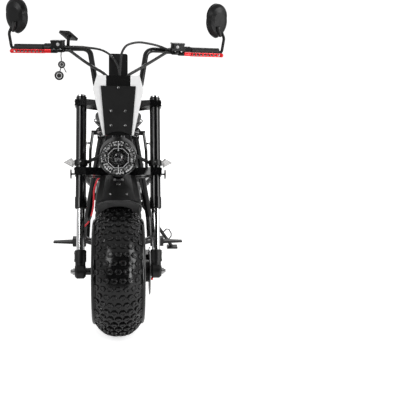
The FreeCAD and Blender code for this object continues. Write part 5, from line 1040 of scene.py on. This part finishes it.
# Controls: the fluid cups' lids with two screws each, a round sight glass, and the
# switches on the rider's side: red and green buttons on the right, grey ones on the left.
sight_glass = uneven("sight_glass", grey(0.25), grey(0.5), 0.05, 0.15, 60.0)
key_grey = uneven("key_grey", grey(0.05), grey(0.09), 0.35, 0.5, 90.0)
key_red = uneven("key_red", (0.6, 0.01, 0.01, 1), (0.75, 0.03, 0.03, 1), 0.3, 0.45, 90.0)
key_green = uneven("key_green", (0.02, 0.45, 0.32, 1), (0.05, 0.6, 0.45, 1), 0.3, 0.45, 90.0)
rows = []
sight = Form()
grey_keys = Form()
red_key = Form()
green_key = Form()
for side in (1, -1):
    for from_end in (0.182, 0.224):
        rows.append((by_bar(from_end, 0.019, 0.0355, side), mirrored(bar_above, side), 0.003, 0.0015))
    rows.append((by_bar(0.187, 0.045, 0.0, side), mirrored(bar_ahead, side), 0.005, 0.003))
    sight_place = seat(by_bar(0.203, 0.0376, 0.020, side), mirrored(bar_ahead, side))
    sight.turned(((0.0072, -0.001), (0.0072, 0.0008), (0.0055, 0.0016), (0, 0.0018)), sight_place, 20)
    for from_end, above, form in (
        (0.143, 0.010, red_key if side < 0 else grey_keys),
        (0.143, -0.006, green_key if side < 0 else grey_keys),
        (0.162, 0.004, grey_keys),
    ):
        place = seat(by_bar(from_end, -0.0195, above, side), mirrored(-bar_ahead, side))
        round_box(form, (0, 0, 0.0015), (0.0055, 0.0045, 0.0025), 0.002, place)
screws("control_screws", "steering", rows)
sight.made("brake_fluid_windows", sight_glass, "steering", "lamp_glass")
grey_keys.made("grey_switches", key_grey, "steering", "black_plastic")
red_key.made("red_switch", key_red, "steering", "red_lamp")
green_key.made("green_switch", key_green, "steering", "black_plastic")

# Display: a dark glass, blank, bonded into its plastic case on the handlebar and facing
# the rider.
DISPLAY = Vector((-0.214, FRONT_Y + 0.480, AXLE_UP + 0.899))
display_right = Vector((0.768, -0.64, 0.04)).normalized()
display_up = Vector((0.548, 0.62, -0.562))
display_up = (display_up - display_right * display_up.dot(display_right)).normalized()
out = display_right.cross(display_up)
screen_glass = uneven("screen_glass", grey(0.004, 0.001), grey(0.010, 0.002), 0.04, 0.1, 50.0)
screen = Form()
place = placed(DISPLAY + out * 0.0046, display_right, out.cross(display_right), out)
round_box(screen, (0, 0, 0), (0.027, 0.029, 0.0006), 0.003, place)
screen.made("display_glass", screen_glass, "steering", "black_plastic")

# Ignition key in the right housing: two wire rings, the lower one round a tag, and a
# spare key, all of plated steel.
KEY_TOP = Vector((-0.246, -0.250, 1.082))
KEY_HEAD = Vector((-0.244, -0.250, 1.044))
KEY_TAG = Vector((-0.256, -0.250, 0.996))
key_ring = Form()
for line, steps in (
    ([KEY_TOP + Vector((0, 0.02, 0.012)), KEY_TOP, KEY_HEAD + Vector((0, 0, 0.012))], 8),
    ([KEY_HEAD + Vector((-0.002, 0, -0.010)), KEY_TAG + Vector((0.002, 0, 0.014))], 8),
    ([KEY_HEAD + Vector((0.006, 0.001, -0.008)), KEY_HEAD + Vector((0.019, 0.001, -0.034))], 6),
):
    key_ring.swept(line, 0.0022, steps)
for middle, radius, wire in ((KEY_HEAD, 0.0120, 0.0042), (KEY_TAG, 0.0160, 0.0044)):
    loop = [middle + Vector((x, 0, z)) for x, z in regular(24, radius)]
    key_ring.swept(loop, wire, 8, closed=True)
tag = ((0.0095, -0.0015), (0.0105, 0.0), (0.0095, 0.0015), (0.004, 0.002), (0, 0.001))
key_head = ((0.0065, -0.0015), (0.007, 0.0), (0.0065, 0.0015), (0, 0.0015))
key_ring.turned(tag, seat(KEY_TAG, (0, -1, 0)), 24)
key_ring.turned(key_head, seat(KEY_HEAD, (0, -1, 0)), 20)
key_metal = uneven("key_metal", grey(0.004), grey(0.12), 0.15, 0.35, 150.0, 0.5)
key_ring.made("keys", key_metal, "steering", "polished_steel")

# Mirrors: silvered glass in black heads. Each stalk is screwed into its clamp by a nut
# and enters the head through a socket and a ball joint.
silvered = uneven("silvered_glass", grey(0.82), grey(0.9, 0.01), 0.015, 0.06, 12.0, 1.0)
dress(silvered, "mirror_glasses")
BALL = (
    (0, -0.012), (0.006, -0.0105), (0.0105, -0.006), (0.012, 0), (0.0105, 0.006), (0.006, 0.0105), (0, 0.012),
)
SOCKET = (
    (0.4570, -0.1600, 1.1720), (0.4525, -0.1700, 1.1870), (0.4480, -0.1775, 1.2030),
    (0.4450, -0.1790, 1.2150),
)
joints = Form()
for side in (1, -1):
    joints.turned(BALL, seat((side * 0.4452, -0.1530, 1.2150), (0, -1, 0)), 20)
    nut(joints, seat(by_bar(-0.012, 0, 0, side), mirrored(bar_line, side)), 0.0095, 0.005)
    joints.swept([(side * x, y, z) for x, y, z in SOCKET], [0.0062, 0.0078, 0.0086, 0.0072], 14)
joints.made("mirror_joints", bezel_finish, "steering", "black_plastic")

# Indicators: a clear faceted lens in a black plastic body, screwed to its side by a black
# stalk. The lens is painted light and grey cell by cell: painted glints on its facets.
LENS_FROM = 0.1815
lamp_clear = Finish("indicator_lens", (0.6, 0.6, 0.6), 0.1, Coat_Weight=0.5)
facet_cells = lamp_clear.texture("Voronoi", Scale=260.0)
# the lens's light and grey cells are painted glints on its facets
lens_colour = lamp_clear.mix(facet_cells, grey(0.82), (0.3, 0.29, 0.28, 1))
lamp_clear.tint(abs(lamp_clear.axis("X")) > LENS_FROM, grey(0.006), lens_colour)
lamp_clear.gloss(facet_cells, 0.08, 0.25, 0.1, 0.6)
lamp_clear.grain(facet_cells, 0.0015, 0.5)
dress(lamp_clear, "front_indicators", "rear_indicators")

# Reflectors: an amber plastic disc of small prisms, pressed into a black cup at each end
# of the lower clamp. Its bright and dark amber cells are painted glints of the prisms.
PRISMS_FROM = 0.1979
cat_eye = Finish("reflector_amber", (0.7, 0.3, 0.05), 0.15)
prism_cells = cat_eye.texture("Voronoi", Scale=420.0)
# bright and dark amber cell by cell: painted glints of the prisms
amber = cat_eye.mix(prism_cells, (0.85, 0.32, 0.04, 1), (0.45, 0.12, 0.01, 1))
cat_eye.tint(abs(cat_eye.axis("X")) > PRISMS_FROM, grey(0.006), amber)
cat_eye.gloss(prism_cells, 0.1, 0.3, 0.1, 0.6)
dress(cat_eye, "reflectors")

# Side stand: a steel leg that turns on a bolt with a nut below. A bent wire loop for the
# rider's foot is welded to it.
STAND_PIVOT = Vector((0.128, 0.271, 0.232))
STAND_FOOT = Vector((0.292, 0.225, 0.004))
STAND_AXIS = Vector((0.802956, -0.070704, 0.59183))
stand_line = (STAND_FOOT - STAND_PIVOT).normalized()
stand_out = (Vector((1, 0, 0)) - stand_line * stand_line.x).normalized()
line = []
for outward, along in (
    (0.006, 0.190), (0.030, 0.186), (0.040, 0.196), (0.038, 0.220), (0.028, 0.234), (0.006, 0.240),
):
    line.append(STAND_PIVOT + stand_line * along + stand_out * outward)
stand_loop = Form().swept(line, 0.0035, 8)
stand_loop.made("stand_foot_loop", enamel, "side_stand", "black_paint")
stand_nut = Form()
nut(stand_nut, seat(STAND_PIVOT - STAND_AXIS * 0.0165, -STAND_AXIS), 0.0095, 0.006)
stand_nut.made("stand_pivot_nut", steel, "chassis", "polished_steel")

# Red brake hose: a braided line in a red plastic cover. It runs down the right of the
# frame and has a black clip below its bend.
CLIP_LOW = 0.341
CLIP_HIGH = 0.366
hose_red = uneven("hose_red", (0.6, 0.01, 0.02, 1), (0.8, 0.03, 0.04, 1), 0.24, 0.4, 60.0)
clip_band = (hose_red.axis("Z") > CLIP_LOW) * (hose_red.axis("Z") < CLIP_HIGH)
hose_red.tint(clip_band, (0.72, 0.015, 0.03, 1), grey(0.006))
dress(hose_red, "brake_hose")


# Floor and light: a pale seamless floor, four large soft lamps, and a black card behind
# the camera that gives the dark fronts of the glossy tubes, as in a studio.
def sheet(name, corners, finish):
    """A flat piece of the studio."""
    mesh = bpy.data.meshes.new(name)
    mesh.from_pydata(corners, [], [(0, 1, 2, 3)])
    mesh.materials.append(finish.material)
    item = new_object(name, mesh)
    return item


floor_finish = Finish("pale_floor", (0.9, 0.9, 0.9), 0.8, Specular_IOR_Level=0.1)
camera_ray = floor_finish.node("LightPath", out="Is Camera Ray")
floor_finish.set("Emission Color", floor_finish.mix(camera_ray, grey(0), grey(0.6)))
floor_finish.set("Emission Strength", 1.0)
sheet("floor", [(-150, -150, 0), (150, -150, 0), (150, 150, 0), (-150, 150, 0)], floor_finish)
card_finish = Finish("black_card", (0.01, 0.01, 0.01), 1.0, Specular_IOR_Level=0.0)
card_corners = [(-4.5, -4.4, -0.2), (4.5, -4.4, -0.2), (4.5, -4.4, 5.5), (-4.5, -4.4, 5.5)]
card = sheet("black_card", card_corners, card_finish)
for ray in ("camera", "diffuse", "shadow", "transmission"):
    setattr(card, "visible_" + ray, False)

# the sky is white to the camera and through the clear cover, and dimmer as a light
world = bpy.data.worlds.new("studio")
bpy.context.scene.world = world
sky = Shading(world, "Background")
rays = {0: sky.node("LightPath", out="Is Camera Ray"), 1: sky.node("LightPath", out="Is Transmission Ray")}
seen = sky.node("Math", {"operation": "MAXIMUM"}, rays)
sky.set("Strength", sky.node("MapRange", inputs={"Value": seen, "To Min": 0.55, "To Max": 1.0}))
sky.set("Color", grey(1))

# columns: name, place, target, width, height, power in watts
for name, place, target, width, height, watts in (
    ("key_lamp", (-2.6, -3.4, 3.4), (0, -0.4, 0.5), 2.0, 2.0, 70),
    ("side_lamp", (3.2, -1.6, 2.2), (0, -0.2, 0.6), 1.4, 2.4, 55),
    ("back_lamp", (0.6, 3.2, 3.0), (0, 0.2, 0.6), 2.4, 1.6, 70),
    ("low_lamp", (1.9, -2.5, 0.75), (0, -0.9, 0.3), 0.6, 1.0, 17),
):
    light = bpy.data.lights.new(name, "AREA")
    light.shape = "RECTANGLE"
    light.size = width
    light.size_y = height
    light.energy = watts
    holder = new_object(name, light)
    holder.location = place
    holder.rotation_euler = (Vector(target) - Vector(place)).to_track_quat("-Z", "Y").to_euler()

bpy.context.scene.view_settings.view_transform = "Standard"
